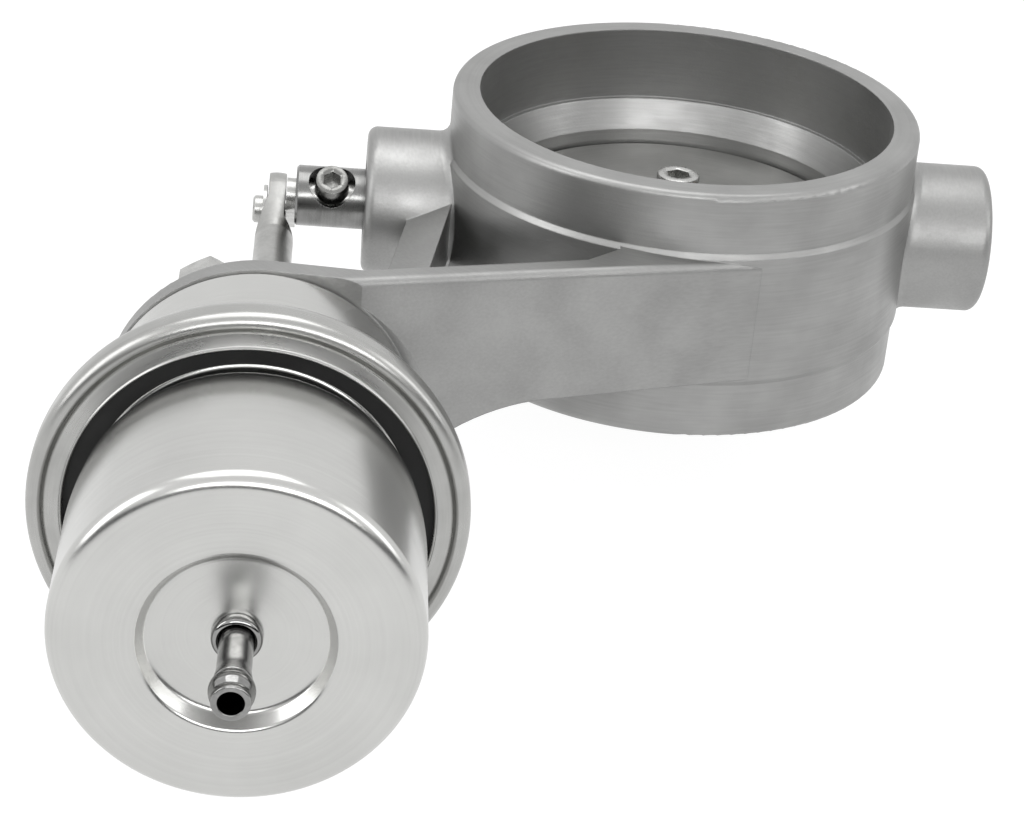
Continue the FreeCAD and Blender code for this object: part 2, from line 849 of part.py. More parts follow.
def disc():
    low, high = mid - d.disc_thick / 2, mid + d.disc_thick / 2
    hole = d.disc_screw_radius + d.running_gap * 3
    blade = turned("disc_blade", [(hole, low), (d.disc_radius, low), (d.disc_radius, high), (hole, high)])
    dress_rings(blade, "Chamfer", d.disc_chamfer, [(d.disc_radius, low), (d.disc_radius, high)])
    keep(blade, "disc")


def cap_screw(name, head_radius, head_height, shank_radius, shank_length, across_flats):
    """A socket cap screw whose head stands on its own Z = 0."""
    solid = turned(
        f"{name}_solid",
        [
            (0, -shank_length),
            (shank_radius, -shank_length),
            (shank_radius, 0),
            (head_radius, 0),
            (head_radius, head_height),
            (0, head_height),
        ],
    )
    dress_rings(solid, "Fillet", d.screw_head_round, [(head_radius, head_height)])
    socket = plate(f"{name}_socket", hexagon(across_flats), head_height, head_height / 2)
    return solid, socket


def disc_screw():
    length = d.disc_seat_height + d.screw_in_shaft
    solid, socket = cap_screw(
        "disc_screw", d.disc_head_radius, d.disc_head_height, d.disc_screw_radius, length, d.disc_head_socket
    )
    for piece in (solid, socket):
        move(piece, 0, 0, mid + d.disc_seat_height)
    keep(cut("disc_screw_cut", solid, socket), "disc_screw")


def lever_screw():
    length = d.lever_seat_height + d.screw_in_shaft
    head = (d.lever_head_radius, d.lever_head_height)
    solid, socket = cap_screw("lever_screw", *head, d.lever_screw_radius, length, d.lever_head_socket)
    for piece in (solid, socket):
        in_lever_screw_frame(piece, d.lever_seat_height)
    keep(cut("lever_screw_cut", solid, socket), "lever_screw")


def crank_lever():
    """A flat web from the shaft to the pin, with a stub that goes into the shaft's end."""
    throw = root(d.pin_back * d.pin_back + d.pin_drop * d.pin_drop)
    side_up = d.web_half * d.pin_back / throw
    side_back = d.web_half * d.pin_drop / throw
    hub = rod_tool("web_hub", d.web_half, 0, d.web_thick)
    in_shaft_frame(hub, out=d.shaft_reach)
    eye = rod_tool("web_eye", d.web_half, 0, d.web_thick)
    in_shaft_frame(eye, -d.pin_drop, d.pin_back, d.shaft_reach)
    link = plate(
        "web_link",
        [
            (side_up, side_back),
            (side_up - d.pin_drop, side_back + d.pin_back),
            (-side_up - d.pin_drop, -side_back + d.pin_back),
            (-side_up, -side_back),
        ],
        d.web_thick,
    )
    in_shaft_frame(link, out=d.shaft_reach)
    stub = rod_tool("web_stub", d.stub_radius, 0, d.stub_length + CLEAR / 2)
    in_shaft_frame(stub, out=d.shaft_reach - d.stub_length)

    pin_hole = rod_tool("web_pin_hole", d.pin_neck + d.press_gap, 0, d.web_thick + 2 * CLEAR)
    in_shaft_frame(pin_hole, -d.pin_drop, d.pin_back, d.shaft_reach - CLEAR)
    seat = rod_tool("stub_seat", d.lever_head_radius + d.running_gap, 0, d.stub_radius)
    in_lever_screw_frame(seat, d.lever_seat_height)
    screw_hole = rod_tool("stub_screw_hole", d.lever_screw_radius + d.running_gap, 0, 4 * d.stub_radius)
    in_lever_screw_frame(screw_hole, -2 * d.stub_radius)
    web = fused("crank_web", hub, eye, link, stub)
    keep(cut("crank_cut", web, pin_hole, seat, screw_hole), "crank_lever")


def crank_pin():
    shoulder = d.shaft_reach + d.web_thick
    groove = d.clip_start - d.press_gap
    groove_end = groove + d.clip_thick + 2 * d.press_gap
    pin = turned(
        "crank_pin_turned",
        [
            (0, d.shaft_reach),
            (d.pin_neck, d.shaft_reach),
            (d.pin_neck, shoulder),
            (d.pin_radius, shoulder),
            (d.pin_radius, groove),
            (d.pin_groove, groove),
            (d.pin_groove, groove_end),
            (d.pin_radius, groove_end),
            (d.pin_radius, d.pin_end),
            (0, d.pin_end),
        ],
    )
    dress_rings(pin, "Chamfer", d.shaft_chamfer, [(d.pin_radius, d.pin_end)])
    in_shaft_frame(pin, -d.pin_drop, d.pin_back)
    keep(pin, "crank_pin")


def e_clip():
    start = d.clip_start
    disc_part = ring("clip_ring", d.clip_radius, d.pin_groove + d.press_gap, start, start + d.clip_thick)
    in_shaft_frame(disc_part, -d.pin_drop, d.pin_back)
    mouth = plate(
        "clip_mouth",
        [
            (0, -d.clip_mouth / 2),
            (0, d.clip_mouth / 2),
            (-d.clip_radius - CLEAR, d.clip_mouth / 2),
            (-d.clip_radius - CLEAR, -d.clip_mouth / 2),
        ],
        d.clip_thick + 2 * CLEAR,
        start - CLEAR,
    )
    in_shaft_frame(mouth, -d.pin_drop, d.pin_back)
    keep(cut("clip_cut", disc_part, mouth), "e_clip")


# The rod and what it carries inside the actuator.


def rod_end():
    return d.rod_to_plate + 2 * d.plate_thick + d.plate_gap + d.rod_nut_thick + d.rod_tail


def actuator_rod():
    """A round rod forged into a flat eye, which tapers sooner on the clip's side than on the web's."""
    reach = d.rod_radius * d.rod_radius + d.eye_taper_end * d.eye_taper_end
    along = d.eye_radius * d.eye_radius / reach
    across = d.eye_radius * root(reach - d.eye_radius * d.eye_radius) / reach
    tangent = (
        along * d.rod_radius + across * d.eye_taper_end,
        along * d.eye_taper_end - across * d.rod_radius,
    )
    round_form = turned(
        "rod_round",
        [
            (0, -d.eye_radius),
            Bend(*tangent, d.eye_radius, left=False),
            (d.rod_radius, d.eye_taper_end),
            (d.rod_radius, d.rod_to_plate),
            (d.rod_thread_radius, d.rod_to_plate),
            (d.rod_thread_radius, rod_end()),
            (0, rod_end()),
        ],
    )
    half, wide = d.eye_thick / 2, d.rod_radius
    far = rod_end() + CLEAR
    flat_form = slab(
        "rod_flat",
        [
            (-half, -d.eye_radius - CLEAR),
            (half, -d.eye_radius - CLEAR),
            (half, d.eye_flat_length),
            (wide, d.eye_taper_end),
            (wide + CLEAR, d.eye_taper_end),
            (wide + CLEAR, far),
            (-wide - CLEAR, far),
            (-wide - CLEAR, d.eye_taper_end),
            (-wide, d.eye_taper_end),
            (-half, d.eye_clip_flat_end),
        ],
        4 * d.eye_radius,
    )
    for form in (round_form, flat_form):
        in_rod_frame(form)
    hole = rod_tool("rod_eye_hole", d.pin_radius + d.running_gap, 0, 4 * d.eye_thick)
    in_shaft_frame(hole, -d.pin_drop, d.pin_back, d.actuator_side - 2 * d.eye_thick)
    keep(cut("rod_cut", shared("rod_forged", round_form, flat_form), hole), "actuator_rod")


def piston_plates():
    """Two pressed plates that hold the diaphragm between them; the front one cups the spring."""
    inner = d.rod_thread_radius + d.press_gap
    rear = d.rod_to_plate
    gap_start, gap_end = rear + d.plate_thick, rear + d.plate_thick + d.plate_gap
    rear_plate = turned(
        "rear_plate_turned",
        [
            (inner, rear),
            (d.plate_radius, rear),
            (d.plate_radius, gap_start),
            (d.plate_hub_radius, gap_start),
            (d.plate_hub_radius, gap_end),
            (inner, gap_end),
        ],
    )
    front_plate = turned(
        "front_plate_turned",
        [
            (inner, gap_end),
            (d.plate_radius, gap_end),
            (d.plate_radius, gap_end + d.plate_lip),
            (d.plate_radius - d.plate_thick, gap_end + d.plate_lip),
            (d.plate_radius - d.plate_thick, gap_end + d.plate_thick),
            (inner, gap_end + d.plate_thick),
        ],
    )
    dress_rings(front_plate, "Fillet", d.plate_lip_round, [(d.plate_radius, gap_end)])
    for piece, node in ((rear_plate, "rear_piston_plate"), (front_plate, "front_piston_plate")):
        in_rod_frame(piece)
        keep(piece, node)


def hex_nut(name, thick, start, hole):
    """A nut with both faces chamfered to a cone, standing from start along its own Z."""
    corner = d.nut_flats / (2 * cosine(30))
    chamfer = corner - d.nut_flats / 2
    blank = turned(
        f"{name}_blank",
        [
            (hole, start),
            (corner - chamfer, start),
            (corner, start + chamfer / 2),
            (corner, start + thick - chamfer / 2),
            (corner - chamfer, start + thick),
            (hole, start + thick),
        ],
    )
    flats = plate(f"{name}_flats", hexagon(d.nut_flats, 90), thick, start)
    return blank, flats


def rod_nut():
    start = d.rod_to_plate + 2 * d.plate_thick + d.plate_gap
    blank, flats = hex_nut("rod_nut", d.rod_nut_thick, start, d.rod_thread_radius + d.press_gap)
    for form in (blank, flats):
        in_rod_frame(form)
    keep(shared("rod_nut_form", blank, flats), "rod_nut")


# The actuator's cans, from the flange forward.


def actuator_piece(name, corners, node):
    piece = turned(name, corners)
    in_actuator_frame(piece)
    keep(piece, node)


def rear_housing():
    start, flange = d.flange_front, d.rear_flange_start
    inner = d.rear_can_radius - d.can_wall
    can = turned(
        "rear_can",
        [
            (d.rod_hole_radius, start),
            (d.rear_can_radius, start),
            (d.rear_can_radius, flange),
            (d.flange_sheet_radius, flange),
            (d.flange_sheet_radius, flange + d.flange_sheet),
            (inner, flange + d.flange_sheet),
            (inner, start + d.can_wall),
            (d.rod_hole_radius, start + d.can_wall),
        ],
    )
    dress_rings(can, "Fillet", d.rear_can_round, [(d.rear_can_radius, start), (d.rear_can_radius, flange)])
    in_actuator_frame(can)
    holes = []
    for number, side in enumerate((1, -1), start=1):
        hole = rod_tool(f"can_stud_hole_{number}", d.stud_radius + d.stud_gap, 0, d.can_wall + 2 * CLEAR)
        in_actuator_frame(hole, *stud_place(side), start - CLEAR)
        holes.append(hole)
    keep(cut("rear_can_cut", can, *holes), "rear_housing")


def rim_steps():
    """Where the sheets that the rim clamps start and end, from the back to the front."""
    steps = [d.rear_flange_start]
    for thick in (d.flange_sheet, d.rim_seal_thick, d.flange_sheet, d.rim_seal_thick):
        steps.append(steps[-1] + thick)
    return steps


def front_housing():
    flange, flange_end = rim_steps()[2:4]
    face, wall = d.front_face_at, d.can_wall
    floor = face - d.recess_depth
    radius, hole = d.front_can_radius, d.nipple_radius + d.press_gap
    waist_end = flange_end + 2 * wall
    actuator_piece(
        "front_can",
        [
            (d.waist_radius - wall, flange),
            (d.flange_sheet_radius, flange),
            (d.flange_sheet_radius, flange_end),
            (d.waist_radius + wall, flange_end),
            Bend(d.waist_radius, flange_end + wall, wall, left=False),
            (d.waist_radius, waist_end),
            Bend(d.shoulder_radius, d.shoulder_at, d.shoulder_round, left=False),
            (radius, d.front_can_start),
            (radius, face - d.front_round),
            Bend(radius - d.front_round, face, d.front_round, left=False),
            (d.recess_radius, face),
            (d.recess_floor_radius, floor),
            (hole, floor),
            (hole, floor - wall),
            (d.recess_floor_radius + wall / 2, floor - wall),
            (d.recess_radius + wall / 2, face - wall),
            (radius - d.front_round, face - wall),
            Bend(radius - wall, face - d.front_round, d.front_round - wall, left=True),
            (radius - wall, d.front_can_start),
            (d.shoulder_radius - wall, d.shoulder_at),
            (d.waist_radius - wall, waist_end),
        ],
        "front_housing",
    )


def crimp_ring():
    """The rolled rim that clamps both cans' flanges, with a channel and a thin lip in front."""
    steps = rim_steps()
    back, front = steps[0], steps[-1]
    roll_centre = d.rim_radius - d.rim_roll
    roll_foot = roll_centre + d.rim_roll * cosine(d.rim_roll_from)
    actuator_piece(
        "crimp_ring_turned",
        [
            (d.rim_back_inner, back - d.rim_sheet),
            (d.rim_back_radius, back - d.rim_sheet),
            (roll_foot, d.rim_roll_at - d.rim_roll * sine(d.rim_roll_from)),
            Bend(roll_centre, d.rim_roll_at + d.rim_roll, d.rim_roll, left=False),
            Bend(d.rim_channel_radius, d.rim_channel_at, d.rim_channel_round, left=False),
            Bend(d.rim_lip_radius + d.rim_lip_thick, d.rim_lip_at, d.rim_channel_round, left=True),
            (d.rim_lip_radius, d.rim_lip_at),
            (d.rim_lip_radius, front),
            (d.flange_sheet_radius + d.rim_seal_thick, front),
            (d.flange_sheet_radius + d.rim_seal_thick, back),
            (d.rim_back_inner, back),
        ],
        "crimp_ring",
    )


def plate_gap_start():
    """How far ahead the gap between the piston plates starts, on the actuator's axis."""
    return (d.rod_to_plate + d.plate_thick) * cosine(rod_tilt) - d.pin_back


def diaphragm():
    """One rubber moulding: a bead folded round the front can's flange, a wall and a flat middle."""
    back, seal, flange, flange_end, front = rim_steps()
    outer = d.flange_sheet_radius + d.rim_seal_thick
    rubber = d.rubber_thick
    middle = plate_gap_start() + (d.plate_gap - rubber) / 2
    wall_inner = d.rubber_wall_radius - rubber
    actuator_piece(
        "diaphragm_moulded",
        [
            (d.rubber_hole_radius, middle),
            (d.rubber_fold_radius, middle),
            (d.rubber_fold_radius, d.rubber_fold_at),
            (d.rubber_wall_radius, d.rubber_fold_at),
            (d.rubber_wall_radius, seal),
            (outer, seal),
            (outer, front),
            (d.rim_seal_inner, front),
            (d.rim_seal_inner, flange_end),
            (d.flange_sheet_radius, flange_end),
            (d.flange_sheet_radius, flange),
            (wall_inner, flange),
            (wall_inner, d.rubber_fold_at + rubber),
            (d.rubber_fold_radius + rubber, d.rubber_fold_at + rubber),
            (d.rubber_fold_radius + rubber, middle + rubber),
            (d.rubber_hole_radius, middle + rubber),
        ],
        "diaphragm",
    )


def spring_seat():
    end = d.front_face_at - d.can_wall
    start = end - d.spring_seat_thick
    inner = d.recess_radius + d.can_wall / 2 + d.spring_side_gap
    outer = d.spring_radius + d.spring_wire + d.spring_side_gap + d.spring_seat_thick
    actuator_piece(
        "spring_seat_turned",
        [
            (inner, start),
            (outer - d.spring_seat_thick, start),
            (outer - d.spring_seat_thick, end - d.spring_seat_lip),
            (outer, end - d.spring_seat_lip),
            (outer, end),
            (inner, end),
        ],
        "spring_seat",
    )


def return_spring():
    """A coil between the front plate and its seat, on the actuator's axis."""
    start = plate_gap_start() + d.plate_gap + d.plate_thick + d.spring_gap + d.spring_wire
    end = d.front_face_at - d.can_wall - d.spring_seat_thick - d.spring_wire - d.running_gap
    body = doc.addObject("PartDesign::Body", "spring_coil")
    sketch = sketch_in(body, "spring_wire_section", "XZ_Plane")
    centre = FreeCAD.Vector(d.spring_radius.value, start.value, 0)
    edge = sketch.addGeometry(Part.Circle(centre, FreeCAD.Vector(0, 0, 1), d.spring_wire.value), False)
    hold(sketch, ("DistanceX", -1, 1, edge, 3), d.spring_radius)
    hold(sketch, ("DistanceY", -1, 1, edge, 3), start)
    hold(sketch, ("Radius", edge), d.spring_wire)
    coil = body.newObject("PartDesign::AdditiveHelix", "spring_helix")
    coil.Profile = sketch
    coil.ReferenceAxis = (sketch, ["V_Axis"])
    coil.Mode = "height-turns-angle"
    bind(coil, Height=end - start, Turns=d.spring_turns)
    body.Tip = coil
    doc.recompute()
    in_actuator_frame(body)
    keep(body, "return_spring")


def vacuum_nipple():
    floor = d.front_face_at - d.recess_depth
    tip, radius = d.nipple_tip_at, d.nipple_radius
    start = floor - d.can_wall - d.nipple_tail
    actuator_piece(
        "nipple_turned",
        [
            (d.nipple_bore, start),
            (radius, start),
            (radius, tip - d.barb_cone_start),
            (radius + d.barb_cone_rise, tip - d.barb_cone_end),
            (radius + d.barb_groove, tip - d.barb_cone_end + d.barb_groove),
            Bend(d.nipple_bulge, tip - d.barb_bulge_at, d.barb_round, left=False),
            Bend(d.nipple_tip_radius, tip - d.barb_tip_start, d.barb_round, left=False),
            (d.nipple_tip_radius, tip - d.barb_tip_chamfer),
            (d.nipple_tip_radius - d.barb_tip_chamfer, tip),
            (d.nipple_bore, tip),
        ],
        "vacuum_nipple",
    )
    collar = turned(
        "nipple_collar_turned",
        [
            (radius + d.press_gap, floor),
            (d.collar_of_nipple, floor),
            (d.collar_of_nipple, floor + d.collar_height),
            (radius + d.press_gap, floor + d.collar_height),
        ],
    )
    dress_rings(collar, "Fillet", d.collar_round, [(d.collar_of_nipple, floor + d.collar_height)])
    in_actuator_frame(collar)
    keep(collar, "nipple_collar")


# The studs, washers and nuts that hold the actuator to the flange.


def pair(name, node, make):
    """Two copies of a fastener, one at each stud, as one node."""
    group = doc.addObject("Part::Compound", name)
    group.Links = [make(f"{name}_{number}", side) for number, side in enumerate((1, -1), start=1)]
    keep(group, node)


def one_stud(name, side):
    seat = d.flange_front + d.can_wall
    tail = flange_rear() - d.washer_thick - d.nut_thick - d.stud_tail
    stud = turned(
        name,
        [
            (0, tail),
            (d.stud_radius, tail),
            (d.stud_radius, seat),
            (d.stud_head_radius, seat),
            (d.stud_head_radius, seat + d.stud_head_thick),
            (0, seat + d.stud_head_thick),
        ],
    )
    dress_rings(stud, "Chamfer", d.shaft_chamfer, [(d.stud_radius, tail)])
    in_actuator_frame(stud, *stud_place(side))
    return stud


def one_washer(name, side):
    start = flange_rear() - d.washer_thick
    washer = ring(f"{name}_ring", d.washer_radius, d.stud_radius + d.stud_gap, start, flange_rear())
    gap = plate(
        f"{name}_split",
        [
            (0, -d.washer_split / 2),
            (d.washer_radius + CLEAR, -d.washer_split / 2),
            (d.washer_radius + CLEAR, d.washer_split / 2),
            (0, d.washer_split / 2),
        ],
        d.washer_thick + 2 * CLEAR,
        start - CLEAR,
    )
    for form in (washer, gap):
        in_actuator_frame(form, *stud_place(side))
    return cut(name, washer, gap)


def one_nut(name, side):
    start = flange_rear() - d.washer_thick - d.nut_thick
    blank, flats = hex_nut(name, d.nut_thick, start, d.stud_radius + d.stud_gap)
    for form in (blank, flats):
        in_actuator_frame(form, *stud_place(side))
    return shared(f"{name}_form", blank, flats)


def write_pieces():
    """Checks every object and every piece's shape, then writes one file for each node."""
    doc.recompute()
    for item in doc.Objects:
        if "Invalid" in item.State or "Error" in item.State:
            raise RuntimeError(f"{item.Name} did not build: {item.State}")
    os.makedirs("parts", exist_ok=True)
    for node, piece in pieces:
        shape = piece.Shape
        if shape.isNull() or not shape.isValid() or not shape.Solids:
            raise RuntimeError(f"{node} has no valid solid")
        shape.exportStep(f"parts/{node}.step")
        print(f"{node}: {len(shape.Solids)} solid, {shape.Volume:.1f} mm3")


valve_body()
bushes_and_seal()
shaft()
disc()
disc_screw()
crank_lever()
crank_pin()
lever_screw()
e_clip()
actuator_rod()
piston_plates()
rod_nut()
rear_housing()
crimp_ring()
front_housing()
diaphragm()
spring_seat()
return_spring()
vacuum_nipple()
pair("mounting_stud", "mounting_studs", one_stud)
pair("lock_washer", "lock_washers", one_washer)
pair("stud_nut", "stud_nuts", one_nut)
write_pieces()
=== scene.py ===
"""The looks of an exhaust cutout valve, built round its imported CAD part.

Sizes of the valve are in millimetres and in the CAD part's frame. Only the lamps are placed in metres.
"""

import logging
import math
from dataclasses import dataclass, field
from enum import Enum

import bmesh
import bpy
from mathutils import Matrix, Vector


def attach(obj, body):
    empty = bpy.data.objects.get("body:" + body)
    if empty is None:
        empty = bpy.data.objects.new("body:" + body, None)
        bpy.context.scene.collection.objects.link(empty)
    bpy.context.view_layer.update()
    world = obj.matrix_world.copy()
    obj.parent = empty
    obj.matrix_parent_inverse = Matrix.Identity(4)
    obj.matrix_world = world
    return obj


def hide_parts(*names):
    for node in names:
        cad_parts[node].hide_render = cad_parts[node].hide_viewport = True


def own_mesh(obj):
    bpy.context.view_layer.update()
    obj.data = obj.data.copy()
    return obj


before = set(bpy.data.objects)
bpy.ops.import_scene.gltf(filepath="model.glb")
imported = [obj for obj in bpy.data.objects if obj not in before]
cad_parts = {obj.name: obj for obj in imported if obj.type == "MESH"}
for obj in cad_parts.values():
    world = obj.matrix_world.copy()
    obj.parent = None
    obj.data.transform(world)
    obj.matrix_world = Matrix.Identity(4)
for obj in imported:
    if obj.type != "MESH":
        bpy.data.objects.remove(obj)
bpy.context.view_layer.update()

log = logging.getLogger("cutout_valve")

MM = 0.001
SEAM = 1e-4  # points of a piece that lie closer than this are merged
SAME_LEVEL = 1e-5  # two heights that differ by less than this are one
SMOOTH_ANGLE = math.radians(32)  # faces that meet at less than this are shaded as one surface
WHITE = "#ffffff"

Tree = bpy.types.NodeTree
Socket = bpy.types.NodeSocket


# Node trees


def linear(code: str) -> tuple[float, float, float, float]:
    """Turns an sRGB hex colour into a linear one.

    Args:
        code: The colour as #rrggbb.

    Returns:
        Linear red, green, blue and an alpha of 1.
    """
    channels = [int(code[at : at + 2], 16) / 255 for at in (1, 3, 5)]
    return (*[c / 12.92 if c <= 0.04045 else ((c + 0.055) / 1.055) ** 2.4 for c in channels], 1.0)


def per(apart: float) -> float:
    """Gives a texture's scale.

    Args:
        apart: How far apart its features are.

    Returns:
        How many of them there are in a metre.
    """
    return 1 / (apart * MM)


def add_node(
    tree: Tree, kind: str, settings: dict | None = None, links: dict | None = None
) -> bpy.types.Node:
    """Adds one node with its settings and links.

    Args:
        tree: The node tree that it goes into.
        kind: The node's type name.
        settings: Attributes of the node, or values of its inputs by name or number.
        links: The output socket that feeds each input, by the input's name or number.

    Returns:
        The new node.
    """
    node = tree.nodes.new(kind)
    for key, value in (settings or {}).items():
        if isinstance(key, str) and hasattr(node, key):
            setattr(node, key, value)
        else:
            node.inputs[key].default_value = value
    for key, socket in (links or {}).items():
        tree.links.new(socket, node.inputs[key])
    return node


def vector_node(
    tree: Tree, operation: str, vector: Socket, values: list | tuple | None = None
) -> bpy.types.Node:
    """Adds one step of vector arithmetic.

    Args:
        tree: The node tree.
        operation: What is done.
        vector: The vector that it is done to.
        values: The second vector, where the operation has one.

    Returns:
        The new node.
    """
    settings = {"operation": operation} if values is None else {"operation": operation, 1: values}
    return add_node(tree, "ShaderNodeVectorMath", settings, {0: vector})


def larger(tree: Tree, first: Socket, second: Socket) -> Socket:
    """Picks the larger of two values.

    Args:
        tree: The node tree.
        first: One value.
        second: The other value.

    Returns:
        The larger value's socket.
    """
    return add_node(tree, "ShaderNodeMath", {"operation": "MAXIMUM"}, {0: first, 1: second}).outputs[0]


def ramp(
    tree: Tree,
    value: Socket,
    start: float,
    end: float,
    low: float = 0.0,
    high: float = 1.0,
    kind: str = "LINEAR",
) -> Socket:
    """Maps a range of values to another one.

    Args:
        tree: The node tree.
        value: What is mapped.
        start: The value that becomes low.
        end: The value that becomes high.
        low: What comes out at the start.
        high: What comes out at the end.
        kind: How it runs between them.

    Returns:
        The mapped value's socket.
    """
    settings = {"interpolation_type": kind, "From Min": start, "From Max": end, "To Min": low, "To Max": high}
    return add_node(tree, "ShaderNodeMapRange", settings, {"Value": value}).outputs[0]


def blend(tree: Tree, amount: Socket, low: str, high: str) -> Socket:
    """Mixes two colours.

    Args:
        tree: The node tree.
        amount: How much of the second colour there is.
        low: The first colour.
        high: The second colour.

    Returns:
        The mixed colour's socket.
    """
    settings = {"data_type": "RGBA", 6: linear(low), 7: linear(high)}
    return add_node(tree, "ShaderNodeMix", settings, {0: amount}).outputs[2]


def noise(tree: Tree, place: Socket, scale: float, detail: float, rough: float = 0.5) -> Socket:
    """Adds a noise.

    Args:
        tree: The node tree.
        place: The point at which it is read.
        scale: How many of its features lie in one unit.
        detail: How many finer layers it has.
        rough: How strong the finer layers are.

    Returns:
        The noise's socket.
    """
    settings = {"Scale": scale, "Detail": detail, "Roughness": rough}
    return add_node(tree, "ShaderNodeTexNoise", settings, {0: place}).outputs["Fac"]


def bumped(tree: Tree, height: Socket, deep: float, normal: Socket | None = None) -> Socket:
    """Lays a relief over a surface.

    Args:
        tree: The node tree.
        height: The relief.
        deep: Its depth.
        normal: The normal that it is laid over, if not the surface's own.

    Returns:
        The new normal's socket.
    """
    links = {"Height": height} if normal is None else {"Height": height, "Normal": normal}
    return add_node(tree, "ShaderNodeBump", {"Distance": deep * MM, "Strength": 1.0}, links).outputs[0]


# Finishes


class Lay(Enum):
    """Which way the marks of a tool or a brush run on a surface."""

    EVEN = "no direction"
    ROUND_X = "rings about an axis along X"
    ROUND_Y = "rings about an axis along Y"
    ROUND_Z = "rings about an axis along Z"


@dataclass(frozen=True)
class Marks:
    """Tool or grit marks: how far apart, how long and how deep, in millimetres."""

    apart: float
    long: float
    deep: float
    lay: Lay = Lay.EVEN
    centre: tuple[float, float, float] = (0.0, 0.0, 0.0)

    def coordinates(self, tree: Tree, place: Socket) -> Socket:
        """Builds the vector in which one unit is one mark.

        Args:
            tree: The material's node tree.
            place: The point on the piece.

        Returns:
            The vector's socket.
        """
        centred = vector_node(tree, "SUBTRACT", place, [c * MM for c in self.centre]).outputs[0]
        fine, slow = per(self.apart), per(self.long)
        if self.lay is Lay.EVEN:
            return vector_node(tree, "MULTIPLY", centred, (fine, fine, fine)).outputs[0]
        axis = {Lay.ROUND_X: 0, Lay.ROUND_Y: 1, Lay.ROUND_Z: 2}[self.lay]
        across = [0.0 if number == axis else 1.0 for number in range(3)]
        flat = vector_node(tree, "MULTIPLY", centred, across).outputs[0]
        radius = vector_node(tree, "LENGTH", flat).outputs["Value"]
        split = add_node(tree, "ShaderNodeSeparateXYZ", links={0: centred}).outputs
        rings = {0: radius, 1: split[axis], 2: split[(axis + 1) % 3]}
        joined = add_node(tree, "ShaderNodeCombineXYZ", links=rings).outputs[0]
        return vector_node(tree, "MULTIPLY", joined, (fine, fine, slow)).outputs[0]


@dataclass(frozen=True)
class Finish:
    """What a surface is made of."""

    name: str

    def material(self) -> bpy.types.Material:
        """Builds the material, or finds it if it was built before.

        Returns:
            The material.
        """
        made = bpy.data.materials.get(self.name)
        if made:
            return made
        made = bpy.data.materials.new(self.name)
        made.use_nodes = True
        tree = made.node_tree
        place = add_node(tree, "ShaderNodeTexCoord").outputs["Object"]
        self.paint(tree, tree.nodes["Principled BSDF"], place)
        return made

    def paint(self, tree: Tree, shader: bpy.types.Node, place: Socket) -> None:
        """Sets the shader and links what varies over the surface.

        Args:
            tree: The material's node tree.
            shader: Its shader.
            place: The point on the piece.
        """
        raise NotImplementedError


@dataclass(frozen=True)
class Metal(Finish):
    """A bare or plated metal: its tone, how its gloss varies, its grain and its tool marks."""

    colour: str
    shade: str
    roughness: float
    spread: float
    marks: Marks
    grain: float = 0.5
    grain_deep: float = 0.0
    cloud: float = 9.0
    edge: float = 0.15
    line_share: float = 0.45
    tone_range: tuple[float, float] = (0.42, 1.02)
    gloss_range: tuple[float, float] = (0.5, 0.95)

    def paint(self, tree: Tree, shader: bpy.types.Node, place: Socket) -> None:
        """Gives the metal its tone, gloss, rounded edges and marks.

        Args:
            tree: The material's node tree.
            shader: Its shader.
            place: The point on the piece.
        """
        shader.inputs["Metallic"].default_value = 1.0
        # the slow change of tone that handling and uneven cleaning leave
        cloud = noise(tree, place, per(self.cloud), detail=3.0)
        lines = noise(tree, self.marks.coordinates(tree, place), 1.0, detail=2.0)
        shares = {"operation": "MULTIPLY_ADD", 1: self.line_share}
        both = add_node(tree, "ShaderNodeMath", shares, {0: lines, 2: cloud}).outputs[0]
        tone = ramp(tree, both, *self.tone_range)
        tree.links.new(blend(tree, tone, self.shade, self.colour), shader.inputs["Base Color"])
        dull, glossy = self.roughness + self.spread, self.roughness - self.spread
        tree.links.new(ramp(tree, both, *self.gloss_range, dull, glossy), shader.inputs["Roughness"])
        rounded = add_node(tree, "ShaderNodeBevel", {"samples": 4, "Radius": self.edge * MM}).outputs[0]
        normal = bumped(tree, lines, self.marks.deep, rounded)
        if self.grain_deep:
            grit = noise(tree, place, per(self.grain), detail=4.0, rough=0.6)
            normal = bumped(tree, grit, self.grain_deep, normal)
        tree.links.new(normal, shader.inputs["Normal"])


@dataclass(frozen=True)
class Rubber(Finish):
    """A moulded rubber: matt and dark, with a faint bloom and the fine skin of its mould."""

    colour: str
    bloom: str
    roughness: float
    ior: float = 1.52
    bloom_apart: float = 6.0
    bloom_range: tuple[float, float] = (0.45, 0.8)
    skin: float = 0.25
    skin_deep: float = 0.02

    def paint(self, tree: Tree, shader: bpy.types.Node, place: Socket) -> None:
        """Gives the rubber its bloom and skin.

        Args:
            tree: The material's node tree.
            shader: Its shader.
            place: The point on the piece.
        """
        shader.inputs["IOR"].default_value = self.ior
        shader.inputs["Roughness"].default_value = self.roughness
        dust = noise(tree, place, per(self.bloom_apart), detail=4.0)
        amount = ramp(tree, dust, *self.bloom_range)
        tree.links.new(blend(tree, amount, self.colour, self.bloom), shader.inputs["Base Color"])
        skin = noise(tree, place, per(self.skin), detail=2.0)
        tree.links.new(bumped(tree, skin, self.skin_deep), shader.inputs["Normal"])


